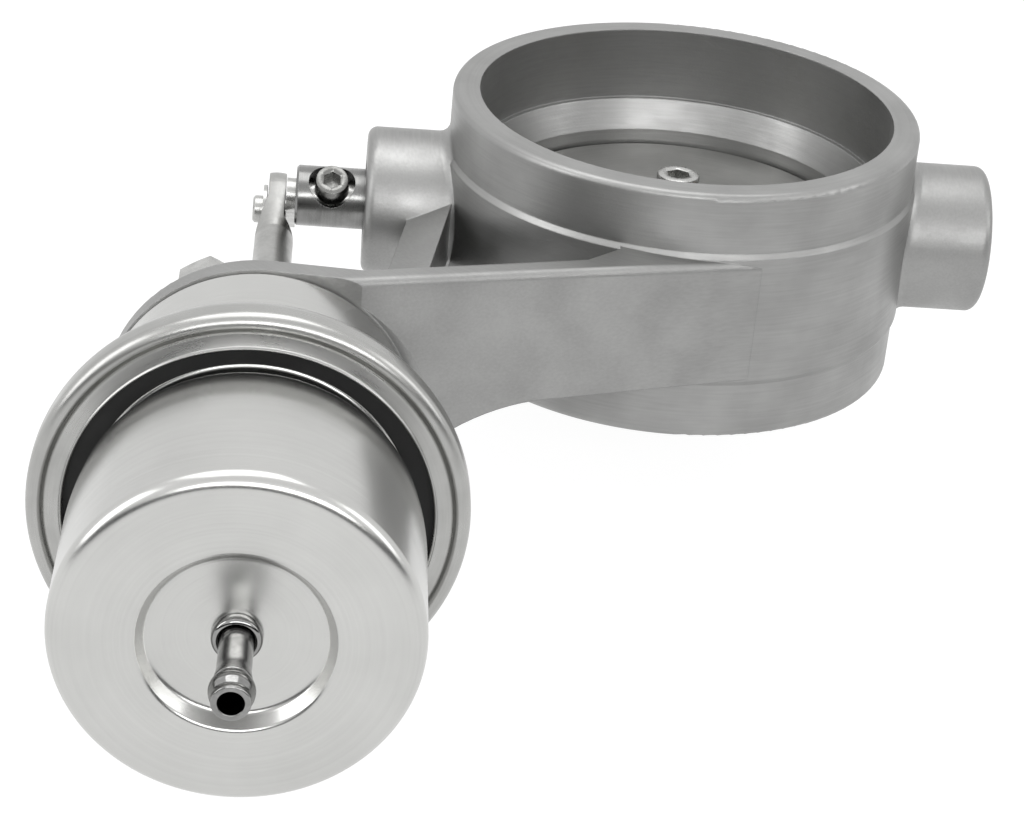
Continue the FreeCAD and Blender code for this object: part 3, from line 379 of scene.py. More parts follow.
@dataclass(frozen=True)
class SinteredBronze(Finish):
    """Oil-filled bronze pressed from powder: a warm satin metal with open pores."""

    name: str = "sintered_bronze"
    colour: str = "#a98450"
    pore: str = "#4c3a22"
    roughness: float = 0.42
    pore_apart: float = 0.35
    pore_range: tuple[float, float] = (0.08, 0.3)
    pore_deep: float = 0.03

    def paint(self, tree: Tree, shader: bpy.types.Node, place: Socket) -> None:
        """Gives the bronze its pores.

        Args:
            tree: The material's node tree.
            shader: Its shader.
            place: The point on the piece.
        """
        shader.inputs["Metallic"].default_value = 1.0
        shader.inputs["Roughness"].default_value = self.roughness
        pores = add_node(tree, "ShaderNodeTexVoronoi", {"Scale": per(self.pore_apart)}, {0: place})
        solid = ramp(tree, pores.outputs["Distance"], *self.pore_range)
        tree.links.new(blend(tree, solid, self.pore, self.colour), shader.inputs["Base Color"])
        tree.links.new(bumped(tree, solid, self.pore_deep), shader.inputs["Normal"])


ACTUATOR_CENTRE = (-74.5, 0.0, 12.25)
SHAFT_CENTRE = (0.0, 0.0, 23.5)

# Investment-cast stainless steel, blasted and then linished round the pipe: a soft grey
# with faint level lines.
CAST_STAINLESS = Metal(
    "cast_stainless_steel",
    "#9f9f9e",
    "#919190",
    0.43,
    0.06,
    Marks(0.45, 8.0, 0.016, Lay.ROUND_Z),
    grain=0.45,
    grain_deep=0.02,
    cloud=11.0,
    edge=0.35,
)
# Stainless sheet, deep drawn and tumbled: a smooth bright satin, clouded a little by the drawing.
DRAWN_SHEET = Metal(
    "drawn_stainless_sheet",
    "#c6c6c4",
    "#bcbcba",
    0.24,
    0.03,
    Marks(0.3, 40.0, 0.0012, Lay.ROUND_Y, ACTUATOR_CENTRE),
    grain=0.25,
    grain_deep=0.0015,
    cloud=14.0,
    edge=0.1,
)
# The same sheet after rolling, which dulls it and leaves fine ripples round the rim.
ROLLED_SHEET = Metal(
    "rolled_stainless_sheet",
    "#b2b2b0",
    "#9f9f9d",
    0.29,
    0.04,
    Marks(0.35, 9.0, 0.003, Lay.ROUND_Y, ACTUATOR_CENTRE),
    grain=0.22,
    grain_deep=0.006,
    cloud=8.0,
    edge=0.12,
)
# Steel tube with bright nickel plating: close to a mirror, with the tube's faint unevenness.
NICKEL_PLATE = Metal(
    "nickel_plated_tube",
    "#9c9c9b",
    "#7e7e7d",
    0.12,
    0.05,
    Marks(0.5, 12.0, 0.004),
    grain=0.8,
    grain_deep=0.004,
    cloud=3.0,
    edge=0.06,
)
# Machine screws, nuts and clips in clear zinc plate: pale, with a slightly uneven satin.
ZINC_PLATE = Metal(
    "zinc_plated_steel",
    "#c2c2c0",
    "#a6a6a4",
    0.28,
    0.09,
    Marks(0.4, 5.0, 0.004),
    grain=0.3,
    grain_deep=0.003,
    cloud=2.5,
    edge=0.12,
)
# The small clamp screw in plain stainless steel, darker than the plated ones.
PLAIN_SCREW = Metal(
    "plain_stainless_screw",
    "#91918f",
    "#6b6b69",
    0.3,
    0.08,
    Marks(0.3, 5.0, 0.004),
    grain=0.25,
    grain_deep=0.003,
    cloud=1.5,
    edge=0.12,
)
# Stainless bar, ground between centres: bright, with fine rings round the shaft.
GROUND_BAR = Metal(
    "ground_stainless_bar",
    "#8f8f8e",
    "#727271",
    0.25,
    0.07,
    Marks(0.22, 9.0, 0.004, Lay.ROUND_X, SHAFT_CENTRE),
    cloud=4.0,
    edge=0.12,
)
# Stainless plate for the disc, rolled and turned: satin with rings about its screw.
TURNED_PLATE = Metal(
    "turned_stainless_plate",
    "#b0b0ae",
    "#9d9d9b",
    0.34,
    0.06,
    Marks(0.4, 20.0, 0.005, Lay.ROUND_Z),
)
# Forged steel rod, descaled and dull plated: an even satin grey without tool marks.
FORGED_ROD = Metal(
    "forged_plated_rod",
    "#b3b3b1",
    "#9e9e9c",
    0.33,
    0.06,
    Marks(0.6, 5.0, 0.006),
    grain=0.4,
    grain_deep=0.004,
    cloud=4.0,
    edge=0.35,
)
# Cold-drawn spring wire, oiled: dark, with brighter spots where the die polished it.
SPRING_WIRE = Metal(
    "drawn_spring_wire",
    "#8d8d8b",
    "#5f5f5e",
    0.3,
    0.08,
    Marks(0.2, 5.0, 0.003),
    cloud=2.0,
    edge=0.05,
)
# Fluorosilicone rubber for the diaphragm and its bead: black and matt. Where the bead shows in the gap behind
# the rim's lip, its black also stands in for the deep shade in that gap (painted shade).
DIAPHRAGM_RUBBER = Rubber("moulded_diaphragm_rubber", "#161616", "#262626", 0.62)
# Fluorocarbon rubber for the shaft's seal: brown-black and a little glossier.
SEAL_RUBBER = Rubber("moulded_seal_rubber", "#241d1a", "#38302c", 0.48)
BUSH_BRONZE = SinteredBronze()


# Shapes


@dataclass(frozen=True)
class Corner:
    """A corner of a turned outline, with how far before it its round begins."""

    radius: float
    along: float
    cut: float = 0.0


def at_actuator() -> Matrix:
    """Gives the frame whose own Z runs ahead along the actuator, in millimetres.

    Returns:
        The frame's matrix.
    """
    return Matrix.Scale(MM, 4) @ Matrix.Translation(ACTUATOR_CENTRE) @ Matrix.Rotation(math.pi / 2, 4, "X")


def at_shaft() -> Matrix:
    """Gives the frame whose own Z runs out along the shaft to the crank, in millimetres.

    Returns:
        The frame's matrix.
    """
    return Matrix.Scale(MM, 4) @ Matrix.Translation(SHAFT_CENTRE) @ Matrix.Rotation(-math.pi / 2, 4, "Y")


def finished(bm: bmesh.types.BMesh, name: str, place: Matrix) -> bpy.types.Object:
    """Moves a mesh into place, closes its seams, and makes it an object at the origin.

    Args:
        bm: The mesh, in its own frame. It is freed.
        name: The piece's name.
        place: The frame that it was built in.

    Returns:
        The linked object.
    """
    bmesh.ops.remove_doubles(bm, verts=bm.verts, dist=SEAM)
    bmesh.ops.transform(bm, matrix=place, verts=bm.verts)
    bmesh.ops.recalc_face_normals(bm, faces=bm.faces)
    for face in bm.faces:
        face.smooth = True
    for edge in bm.edges:
        edge.smooth = len(edge.link_faces) == 2 and edge.calc_face_angle() < SMOOTH_ANGLE
    mesh = bpy.data.meshes.new(name)
    bm.to_mesh(mesh)
    bm.free()
    piece = bpy.data.objects.new(name, mesh)
    bpy.context.scene.collection.objects.link(piece)
    return piece


def spin(
    bm: bmesh.types.BMesh,
    geometry: list,
    steps: int,
    turns: float = 1.0,
    rise: float = 0.0,
    merge: bool = True,
) -> None:
    """Sweeps points, edges or faces about the mesh's own Z.

    Args:
        bm: The mesh.
        geometry: What is swept.
        steps: How many steps there are in all.
        turns: How many turns there are.
        rise: How far each step climbs.
        merge: Whether the last step closes on the first.
    """
    bmesh.ops.spin(
        bm,
        geom=geometry,
        cent=(0, 0, 0),
        axis=(0, 0, 1),
        dvec=(0, 0, rise),
        angle=2 * math.pi * turns,
        steps=steps,
        use_merge=merge,
    )


def add_turned(bm: bmesh.types.BMesh, corners: list[Corner], steps: int, segments: int) -> None:
    """Turns a closed outline once about the mesh's own Z.

    Args:
        bm: The mesh that it is added to.
        corners: The outline in order, each corner rounded by its own cut.
        steps: How many steps the full turn has.
        segments: How many segments a rounded corner has.
    """
    verts = [bm.verts.new((corner.radius, 0.0, corner.along)) for corner in corners]
    for number, vert in enumerate(verts):
        bm.edges.new((vert, verts[number - 1]))
    outline = set(verts)
    for cut in sorted({corner.cut for corner in corners if corner.cut}, reverse=True):
        chosen = [vert for vert, corner in zip(verts, corners) if corner.cut == cut]
        made = bmesh.ops.bevel(
            bm,
            geom=chosen,
            offset=cut,
            offset_type="OFFSET",
            segments=segments,
            profile=0.5,
            affect="VERTICES",
            material=-1,
        )
        outline = (outline - set(chosen)) | set(made["verts"])
    outline = [vert for vert in outline if vert.is_valid]
    edges = {edge for vert in outline for edge in vert.link_edges}
    spin(bm, outline + list(edges), steps)


def turned(name: str, corners: list[Corner], place: Matrix, steps: int, segments: int) -> bpy.types.Object:
    """Makes one turned piece from a closed outline.

    Args:
        name: The piece's name.
        corners: The outline in order.
        place: The frame that it is built in.
        steps: How many steps the full turn has.
        segments: How many segments a rounded corner has.

    Returns:
        The piece.
    """
    bm = bmesh.new()
    add_turned(bm, corners, steps, segments)
    return finished(bm, name, place)


def add_helix(
    bm: bmesh.types.BMesh, section: list[tuple[float, float]], pitch: float, turns: float, steps: int
) -> None:
    """Winds a small closed section about the mesh's own Z and closes its ends.

    Args:
        bm: The mesh that it is added to.
        section: The section's corners as radius and height.
        pitch: The rise of one turn.
        turns: How many turns there are.
        steps: How many steps a turn has.
    """
    verts = [bm.verts.new((radius, 0.0, height)) for radius, height in section]
    first = bm.faces.new(verts)
    count = round(steps * turns)
    spin(bm, verts + list(first.edges) + [first], count, turns, pitch * turns / count, merge=False)


def level(edge: bmesh.types.BMEdge, height: float) -> bool:
    """Tells whether an edge lies at a height.

    Args:
        edge: The edge.
        height: The height along the mesh's own Z.

    Returns:
        True if both its ends do.
    """
    return all(abs(vert.co.z - height) < SAME_LEVEL for vert in edge.verts)


@dataclass(frozen=True)
class CapScrew:
    """A screw whose round head has a six-sided socket and stands on its own Z = 0."""

    head_radius: float
    head_height: float
    shank_radius: float
    shank_length: float
    flats: float
    end_chamfer: float = 0.4
    seat_edge: float = 0.1
    head_round: float = 0.55
    round_middle: float = 0.16
    socket_rim: float = 0.25
    socket_bevel: float = 0.2
    socket_share: float = 0.45
    sides: int = 48

    def outline(self, ring: float) -> list[Corner]:
        """Gives the outline, which is open at the top, where the socket joins it.

        Args:
            ring: The opening's radius.

        Returns:
            The corners from the shank's end to the opening.
        """
        head, top, shank, end = self.head_radius, self.head_height, self.shank_radius, -self.shank_length
        return [
            Corner(0.0, end),
            Corner(shank - self.end_chamfer, end),
            Corner(shank, end + self.end_chamfer),
            Corner(shank, 0.0),
            Corner(head - self.seat_edge, 0.0),
            Corner(head, self.seat_edge),
            Corner(head, top - self.head_round),
            Corner(head - self.round_middle, top - self.round_middle),
            Corner(head - self.head_round, top),
            Corner(ring, top),
        ]

    def build(self, name: str, place: Matrix) -> bpy.types.Object:
        """Makes the screw.

        Args:
            name: The piece's name.
            place: The frame that it is built in.

        Returns:
            The screw.
        """
        bm = bmesh.new()
        socket_radius = self.flats / 2 / math.cos(math.pi / 6)
        corners = self.outline(socket_radius + self.socket_rim)
        verts = [bm.verts.new((corner.radius, 0.0, corner.along)) for corner in corners]
        edges = [bm.edges.new(pair) for pair in zip(verts, verts[1:])]
        spin(bm, verts + edges, self.sides)
        bmesh.ops.remove_doubles(bm, verts=bm.verts, dist=SAME_LEVEL)
        rim = [edge for edge in bm.edges if edge.is_boundary and level(edge, self.head_height)]
        mouth_height = self.head_height - self.socket_bevel
        raised = Matrix.Translation((0, 0, mouth_height))
        hexagon = bmesh.ops.create_circle(
            bm, cap_ends=False, segments=6, radius=socket_radius, matrix=raised
        )
        flat_edges = list({edge for vert in hexagon["verts"] for edge in vert.link_edges})
        bmesh.ops.subdivide_edges(bm, edges=flat_edges, cuts=self.sides // 6 - 1)
        mouth = [edge for edge in bm.edges if not edge.link_faces and level(edge, mouth_height)]
        bmesh.ops.bridge_loops(bm, edges=rim + mouth)
        wall = bmesh.ops.extrude_edge_only(bm, edges=mouth)["geom"]
        lower = [item for item in wall if isinstance(item, bmesh.types.BMVert)]
        bmesh.ops.translate(bm, vec=(0, 0, -self.head_height * self.socket_share), verts=lower)
        floor = [item for item in wall if isinstance(item, bmesh.types.BMEdge) and item.is_boundary]
        bmesh.ops.holes_fill(bm, edges=floor, sides=0)
        return finished(bm, name, place)


def dress(node: str, finish: Finish) -> None:
    """Gives a CAD node its finish.

    Args:
        node: The node's name.
        finish: What it is made of.
    """
    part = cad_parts[node]
    for slot in part.material_slots:
        slot.material = finish.material()
    log.info("%s: %s", node, finish.name)


def settle(piece: bpy.types.Object, body: str, finish: Finish, slot: str, *nodes: str) -> None:
    """Gives a new piece its finish and its body, and hides the nodes that it stands for.

    Args:
        piece: The new piece.
        body: The CAD body that it rides on.
        finish: What it is made of.
        slot: The record's material slot; not used.
        nodes: The CAD nodes that it replaces.
    """
    piece.data.materials.append(finish.material())
    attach(piece, body)
    if nodes:
        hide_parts(*nodes)
    log.info("%s rides on %s: %s, %d faces", piece.name, body, finish.name, len(piece.data.polygons))


# Sub-assemblies


@dataclass
class Casting:
    """The pipe casting with what is pressed into its bosses."""

    seal_outer: float = 7.48
    seal_inner: float = 5.7
    seal_start: float = 55.6
    seal_end: float = 57.6
    seal_rim: float = 0.5
    hollow_slope: float = 0.3
    hollow_deep: float = 0.7
    lip: float = 0.5
    lip_back: float = 0.1

    def build(self) -> None:
        """Dresses the casting and bushes and makes the shaft's seal."""
        dress("valve_body", CAST_STAINLESS)
        dress("left_bush", BUSH_BRONZE)
        dress("right_bush", BUSH_BRONZE)
        self.seal()

    def seal(self) -> None:
        """Makes the seal: a ring with a hollow in its outer face and a lip on the shaft."""
        outer, inner, start, end = self.seal_outer, self.seal_inner, self.seal_start, self.seal_end
        floor = end - self.hollow_deep
        corners = [
            Corner(inner, start, 0.2),
            Corner(outer, start, 0.2),
            Corner(outer, end, 0.2),
            Corner(outer - self.seal_rim, end, 0.1),
            Corner(outer - self.seal_rim - self.hollow_slope, floor, 0.15),
            Corner(inner + self.lip, floor, 0.15),
            Corner(inner, end - self.lip_back, 0.08),
        ]
        piece = turned("shaft_seal_lip", corners, at_shaft(), steps=72, segments=3)
        settle(piece, "housing", SEAL_RUBBER, "seal_rubber", "shaft_seal")


@dataclass
class ShaftGroup:
    """The shaft with its disc, crank and screws."""

    disc_seat: float = 4.6
    lever_seat: float = 2.7
    lever_from_end: float = 6.6
    lever_tilt: float = 52.0
    shaft_reach: float = 70.9
    in_shaft: float = 4.8

    def build(self) -> None:
        """Dresses the turned pieces and makes both screws."""
        dress("shaft", GROUND_BAR)
        dress("disc", TURNED_PLATE)
        dress("crank_lever", ZINC_PLATE)
        dress("crank_pin", ZINC_PLATE)
        dress("e_clip", ZINC_PLATE)
        self.disc_screw()
        self.lever_screw()

    def disc_screw(self) -> None:
        """Makes the screw that holds the disc in the shaft's slot."""
        screw = CapScrew(
            head_radius=4.0,
            head_height=4.8,
            shank_radius=2.5,
            shank_length=self.disc_seat + self.in_shaft,
            flats=4.0,
        )
        place = Matrix.Scale(MM, 4) @ Matrix.Translation((0, 0, SHAFT_CENTRE[2] + self.disc_seat))
        piece = screw.build("disc_cap_screw", place)
        settle(piece, "valve_shaft", ZINC_PLATE, "plated_steel", "disc_screw")

    def lever_screw(self) -> None:
        """Makes the screw that clamps the crank's stub, which leans to the front."""
        screw = CapScrew(
            head_radius=3.1,
            head_height=4.1,
            shank_radius=1.5,
            shank_length=self.lever_seat + self.in_shaft,
            flats=3.0,
        )
        tilt = math.radians(self.lever_tilt)
        spot = (
            self.lever_from_end - self.shaft_reach,
            -self.lever_seat * math.cos(tilt),
            SHAFT_CENTRE[2] + self.lever_seat * math.sin(tilt),
        )
        turn = Matrix.Rotation(math.pi / 2 - tilt, 4, "X")
        piece = screw.build("lever_cap_screw", Matrix.Scale(MM, 4) @ Matrix.Translation(spot) @ turn)
        settle(piece, "valve_shaft", PLAIN_SCREW, "plated_steel", "lever_screw")


class RodGroup:
    """The forged rod and the plates and nut that it carries in the cans."""

    def build(self) -> None:
        """Dresses the rod and what it carries."""
        dress("actuator_rod", FORGED_ROD)
        for node in ("rear_piston_plate", "front_piston_plate", "rod_nut"):
            dress(node, ZINC_PLATE)


@dataclass
class Actuator:
    """The drawn cans, the rolled rim that joins them, and what is inside and on them."""

    # front can
    wall: float = 0.9
    waist: float = 24.6
    waist_length: float = 3.4
    waist_shift: float = 0.2
    flare: float = 27.0
    flare_end: float = 104.6
    flare_shift: float = 0.3
    shoulder: float = 27.5
    shoulder_end: float = 108.2
    front_radius: float = 28.0
    side_start: float = 112.4
    face: float = 140.0
    recess: float = 15.0
    recess_floor: float = 13.4
    recess_deep: float = 2.6
    # rolled rim and the flanges that it clamps
    sheet: float = 0.8
    clamped: float = 3.2
    rim_start: float = 96.8
    rim_radius: float = 35.0
    rim_neck: float = 31.0
    rim_front: float = 5.5
    channel_floor: float = 4.7
    channel_inner: float = 29.2
    # diaphragm; the bead's black face in the gap behind the rim's lip is rubber and also painted shade for
    # that gap
    flange_radius: float = 32.0
    # diaphragm
    rubber: float = 1.0
    fold_inner: float = 20.6
    fold_outer: float = 23.4
    fold_start: float = 84.0
    plate_face: float = 88.9
    gap_shade_bead_mouth: float = 25.6
    middle_inner: float = 5.6
    middle_start: float = 88.95
    middle_end: float = 89.8
    # return spring
    coil_radius: float = 16.4
    wire_radius: float = 0.8
    coil_start: float = 93.65
    coil_end: float = 137.45
    coil_turns: float = 6.0
    coil_steps: int = 60
    wire_sides: int = 12
    # nipple and its collar
    nipple: float = 2.6
    bore: float = 1.95
    foot: float = 134.5
    tip: float = 155.6
    barb: float = 0.85
    collar: float = 3.85
    collar_height: float = 1.8
    push_gap: float = 0.02

    def build(self) -> None:
        """Makes each sheet, the rubber, the spring and the nipple."""
        dress("rear_housing", DRAWN_SHEET)
        dress("spring_seat", ZINC_PLATE)
        self.front_can()
        self.rim()
        self.diaphragm()
        self.spring()
        self.nipple_and_collar()

    def front_can(self) -> None:
        """Makes the front can: a waist, a rounded shoulder, the drawn side, and the face with its recess."""
        wall, sheet, radius, face, waist = self.wall, self.sheet, self.front_radius, self.face, self.waist
        seat = self.rim_start + 2 * sheet
        waist_end = seat + self.waist_length
        floor = face - self.recess_deep
        hole = self.nipple + self.push_gap
        corners = [
            Corner(waist - wall, seat, 0.25),
            Corner(self.flange_radius, seat, 0.2),
            Corner(self.flange_radius, seat + sheet, 0.2),
            Corner(waist, seat + sheet, 1.0),
            Corner(waist, waist_end, 0.9),
            Corner(self.flare, self.flare_end, 2.1),
            Corner(self.shoulder, self.shoulder_end, 1.2),
            Corner(radius, self.side_start, 2.6),
            Corner(radius, face, 2.5),
            Corner(self.recess, face, 0.55),
            Corner(self.recess_floor, floor, 0.7),
            Corner(hole, floor),
            Corner(hole, floor - wall),
            Corner(self.recess_floor + wall / 2, floor - wall, 0.7),
            Corner(self.recess + wall / 2, face - wall, 0.6),
            Corner(radius - wall, face - wall, 1.6),
            Corner(radius - wall, self.side_start, 1.0),
            Corner(self.shoulder - wall, self.shoulder_end, 0.8),
            Corner(self.flare - wall, self.flare_end + self.flare_shift, 0.8),
            Corner(waist - wall, waist_end + self.waist_shift, 0.8),
        ]
        piece = turned("front_can", corners, at_actuator(), steps=192, segments=8)
        settle(piece, "housing", DRAWN_SHEET, "can_steel", "front_housing")

    def rim(self) -> None:
        """Makes the rolled rim: a round back edge, a channel in front and a thin turned lip."""
        start, radius, inner = self.rim_start, self.rim_radius, self.channel_inner
        back, front, end = start - self.sheet, start + self.rim_front, start + self.clamped
        room = self.flange_radius + self.sheet
        corners = [
            Corner(self.rim_neck, back, 0.3),
            Corner(radius - 0.6, back, 0.5),
            Corner(radius, start + 0.9, 0.7),
            Corner(radius, front, 1.9),
            Corner(radius - 2.3, front + 0.1, 0.8),
            Corner(radius - 3.0, start + self.channel_floor, 0.5),
            Corner(inner + 0.55, front - 0.05, 0.1),
            Corner(inner + 0.3, front + 0.25, 0.08),
            Corner(inner, front + 0.1, 0.1),
            Corner(inner, end, 0.3),
            Corner(room, end, 0.2),
            Corner(room, start, 0.2),
            Corner(self.rim_neck, start, 0.2),
        ]
        piece = turned("rolled_rim", corners, at_actuator(), steps=192, segments=6)
        settle(piece, "housing", ROLLED_SHEET, "can_steel", "crimp_ring")

    def diaphragm(self) -> None:
        """Makes the rubber in two pieces: the bead with its wall on the cans, and the middle on the rod. The
        bead's black face in the gap behind the rim's lip shows the rubber and also paints the shade of that
        gap.
        """
        start, sheet, flange, rubber = self.rim_start, self.sheet, self.flange_radius, self.rubber
        outer, end = flange + sheet, start + self.clamped
        fold_in, fold_out, fold_start = self.fold_inner, self.fold_outer, self.fold_start
        corners = [
            Corner(fold_in, self.plate_face, 0.3),
            Corner(fold_in, fold_start, 0.6),
            Corner(fold_out, fold_start, 0.9),
            Corner(fold_out, start + sheet, 0.8),
            Corner(outer, start + sheet, 0.3),
            Corner(outer, end, 0.3),
            # the bead reaches in across the gap behind the rim's lip; its black there is rubber and also
            # painted shade for the gap
            Corner(self.gap_shade_bead_mouth, end, 0.3),
            Corner(self.gap_shade_bead_mouth, end - sheet),
            Corner(flange, end - sheet),
            Corner(flange, start + 2 * sheet),
            Corner(fold_out - rubber, start + 2 * sheet, 0.6),
            Corner(fold_out - rubber, fold_start + rubber, 0.4),
            Corner(fold_in + rubber, fold_start + rubber, 0.3),
            Corner(fold_in + rubber, self.plate_face, 0.3),
        ]
        bead = turned("diaphragm_bead_and_wall_with_gap_shade", corners, at_actuator(), steps=144, segments=4)
        settle(bead, "housing", DIAPHRAGM_RUBBER, "rubber", "diaphragm")
        middle = [
            Corner(self.middle_inner, self.middle_start, 0.2),
            Corner(fold_in + rubber, self.middle_start, 0.3),
            Corner(fold_in + rubber, self.middle_end, 0.3),
            Corner(self.middle_inner, self.middle_end, 0.2),
        ]
        piece = turned("diaphragm_middle", middle, at_actuator(), steps=96, segments=3)
        settle(piece, "rod_assembly", DIAPHRAGM_RUBBER, "rubber")

    def spring(self) -> None:
        """Winds the return spring between the plate and its seat."""
        start, end, turns, wire = self.coil_start, self.coil_end, self.coil_turns, self.wire_radius
        angles = [2 * math.pi * number / self.wire_sides for number in range(self.wire_sides)]
        section = [(self.coil_radius + wire * math.cos(a), start + wire * math.sin(a)) for a in angles]
        bm = bmesh.new()
        add_helix(bm, section, (end - start) / turns, turns, self.coil_steps)
        piece = finished(bm, "wound_return_spring", at_actuator())
        settle(piece, "housing", SPRING_WIRE, "shaft_steel", "return_spring")
        anchor = Vector(ACTUATOR_CENTRE) * MM
        anchor.y = -(end + wire) * MM
        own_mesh(piece)

    def nipple_and_collar(self) -> None:
        """Makes the hose nipple with its barb, and the flared collar at its foot."""
        radius, bore, foot, tip, barb = self.nipple, self.bore, self.foot, self.tip, self.barb
        corners = [
            Corner(bore, foot, 0.1),
            Corner(radius, foot, 0.1),
            Corner(radius, tip - 8.2, 0.6),
            Corner(radius + 0.35, tip - 5.4, 0.2),
            Corner(radius + 0.2, tip - 5.1, 0.12),
            Corner(radius + barb, tip - 3.9, 0.45),
            Corner(radius + barb, tip - 2.7, 0.45),
            Corner(radius + 0.33, tip - 1.1, 0.3),
            Corner(radius + 0.33, tip, 0.3),
            Corner(bore, tip, 0.22),
        ]
        piece = turned("barbed_nipple", corners, at_actuator(), steps=72, segments=5)
        settle(piece, "housing", NICKEL_PLATE, "bright_steel", "vacuum_nipple")
        floor = self.face - self.recess_deep
        hole, top = radius + self.push_gap, floor + self.collar_height
        collar = [
            Corner(hole, floor),
            Corner(self.collar, floor, 0.15),
            Corner(self.collar, top - 0.05, 0.85),
            Corner(radius + 0.45, top, 0.2),
            Corner(hole, top - 0.45, 0.1),
        ]
        piece = turned("flared_collar", collar, at_actuator(), steps=72, segments=5)
        settle(piece, "housing", NICKEL_PLATE, "bright_steel", "nipple_collar")


@dataclass
class Fasteners:
    """The studs that hold the cans to the flange, with their washers and nuts."""

    circle: float = 19.65
    angle: float = 118.9
    radius: float = 3.0
    head: float = 4.4
    head_thick: float = 1.2
    seat: float = 67.0
    tail: float = 53.3
    end_chamfer: float = 0.4
    thread_deep: float = 0.35
    thread_start: float = 61.0
    pitch: float = 1.0
    turns: float = 6.0
    thread_steps: int = 24
    ridge_start: float = 0.45
    ridge_width: float = 0.92
    crest_start: float = 0.42
    crest_end: float = 0.5
    crest_gap: float = 0.02
    ridge_sunk: float = 0.1

    def build(self) -> None:
        """Makes the threaded studs and dresses what is on them."""
        self.studs()
        dress("lock_washers", ZINC_PLATE)
        dress("stud_nuts", ZINC_PLATE)

    def stud(self) -> bmesh.types.BMesh:
        """Makes one stud about its own Z: a riveted head, a plain core and a rolled thread.

        Returns:
            The stud's mesh.
        """
        bm = bmesh.new()
        root, radius, tail, chamfer = self.radius - self.thread_deep, self.radius, self.tail, self.end_chamfer
        corners = [
            Corner(0.0, tail),
            Corner(root - chamfer, tail),
            Corner(root, tail + chamfer),
            Corner(root, self.thread_start),
            Corner(radius, self.thread_start + chamfer),
            Corner(radius, self.seat),
            Corner(self.head, self.seat, 0.1),
            Corner(self.head, self.seat + self.head_thick, 0.4),
            Corner(0.0, self.seat + self.head_thick),
        ]
        add_turned(bm, corners, steps=40, segments=3)
        low, foot, crest = tail + self.ridge_start, root - self.ridge_sunk, radius - self.crest_gap
        ridge = [
            (foot, low),
            (crest, low + self.crest_start),
            (crest, low + self.crest_end),
            (foot, low + self.ridge_width),
        ]
        add_helix(bm, ridge, self.pitch, self.turns, self.thread_steps)
        return bm

    def studs(self) -> None:
        """Makes both studs as one piece."""
        bm = bmesh.new()
        turn = math.radians(self.angle)
        for side in (1, -1):
            one = self.stud()
            spot = (side * self.circle * math.cos(turn), side * self.circle * math.sin(turn), 0)
            bmesh.ops.translate(one, vec=spot, verts=one.verts)
            carried = bpy.data.meshes.new("one_stud")
            one.to_mesh(carried)
            one.free()
            bm.from_mesh(carried)
            bpy.data.meshes.remove(carried)
        piece = finished(bm, "threaded_studs", at_actuator())
        settle(piece, "housing", ZINC_PLATE, "plated_steel", "mounting_studs")


# Studio


@dataclass(frozen=True)
class Softbox:
    """A rectangular lamp that faces the valve, placed in metres, with its power in watts."""

    name: str
    place: tuple[float, float, float]
    size: tuple[float, float]
    power: float
    target: tuple[float, float, float] = (-0.03, -0.04, 0.02)

    def hang(self) -> None:
        """Adds the lamp to the scene."""
        data = bpy.data.lights.new(self.name, "AREA")
        data.shape = "RECTANGLE"
        data.size, data.size_y = self.size
        data.energy = self.power
        lamp = bpy.data.objects.new(self.name, data)
        lamp.location = self.place
        aim = Vector(self.target) - Vector(self.place)
        lamp.rotation_euler = aim.to_track_quat("-Z", "Y").to_euler()
        bpy.context.scene.collection.objects.link(lamp)


SOFTBOXES = (
    Softbox("overhead_softbox", (-0.1, 0.1, 0.75), (0.7, 0.5), 2.3),
    Softbox("front_softbox", (0.05, -0.75, 0.37), (0.8, 0.17), 2.2),
    Softbox("left_softbox", (-0.75, -0.25, 0.35), (0.35, 0.5), 1.6),
    Softbox("right_softbox", (0.7, -0.2, 0.4), (0.3, 0.5), 1.0),
)


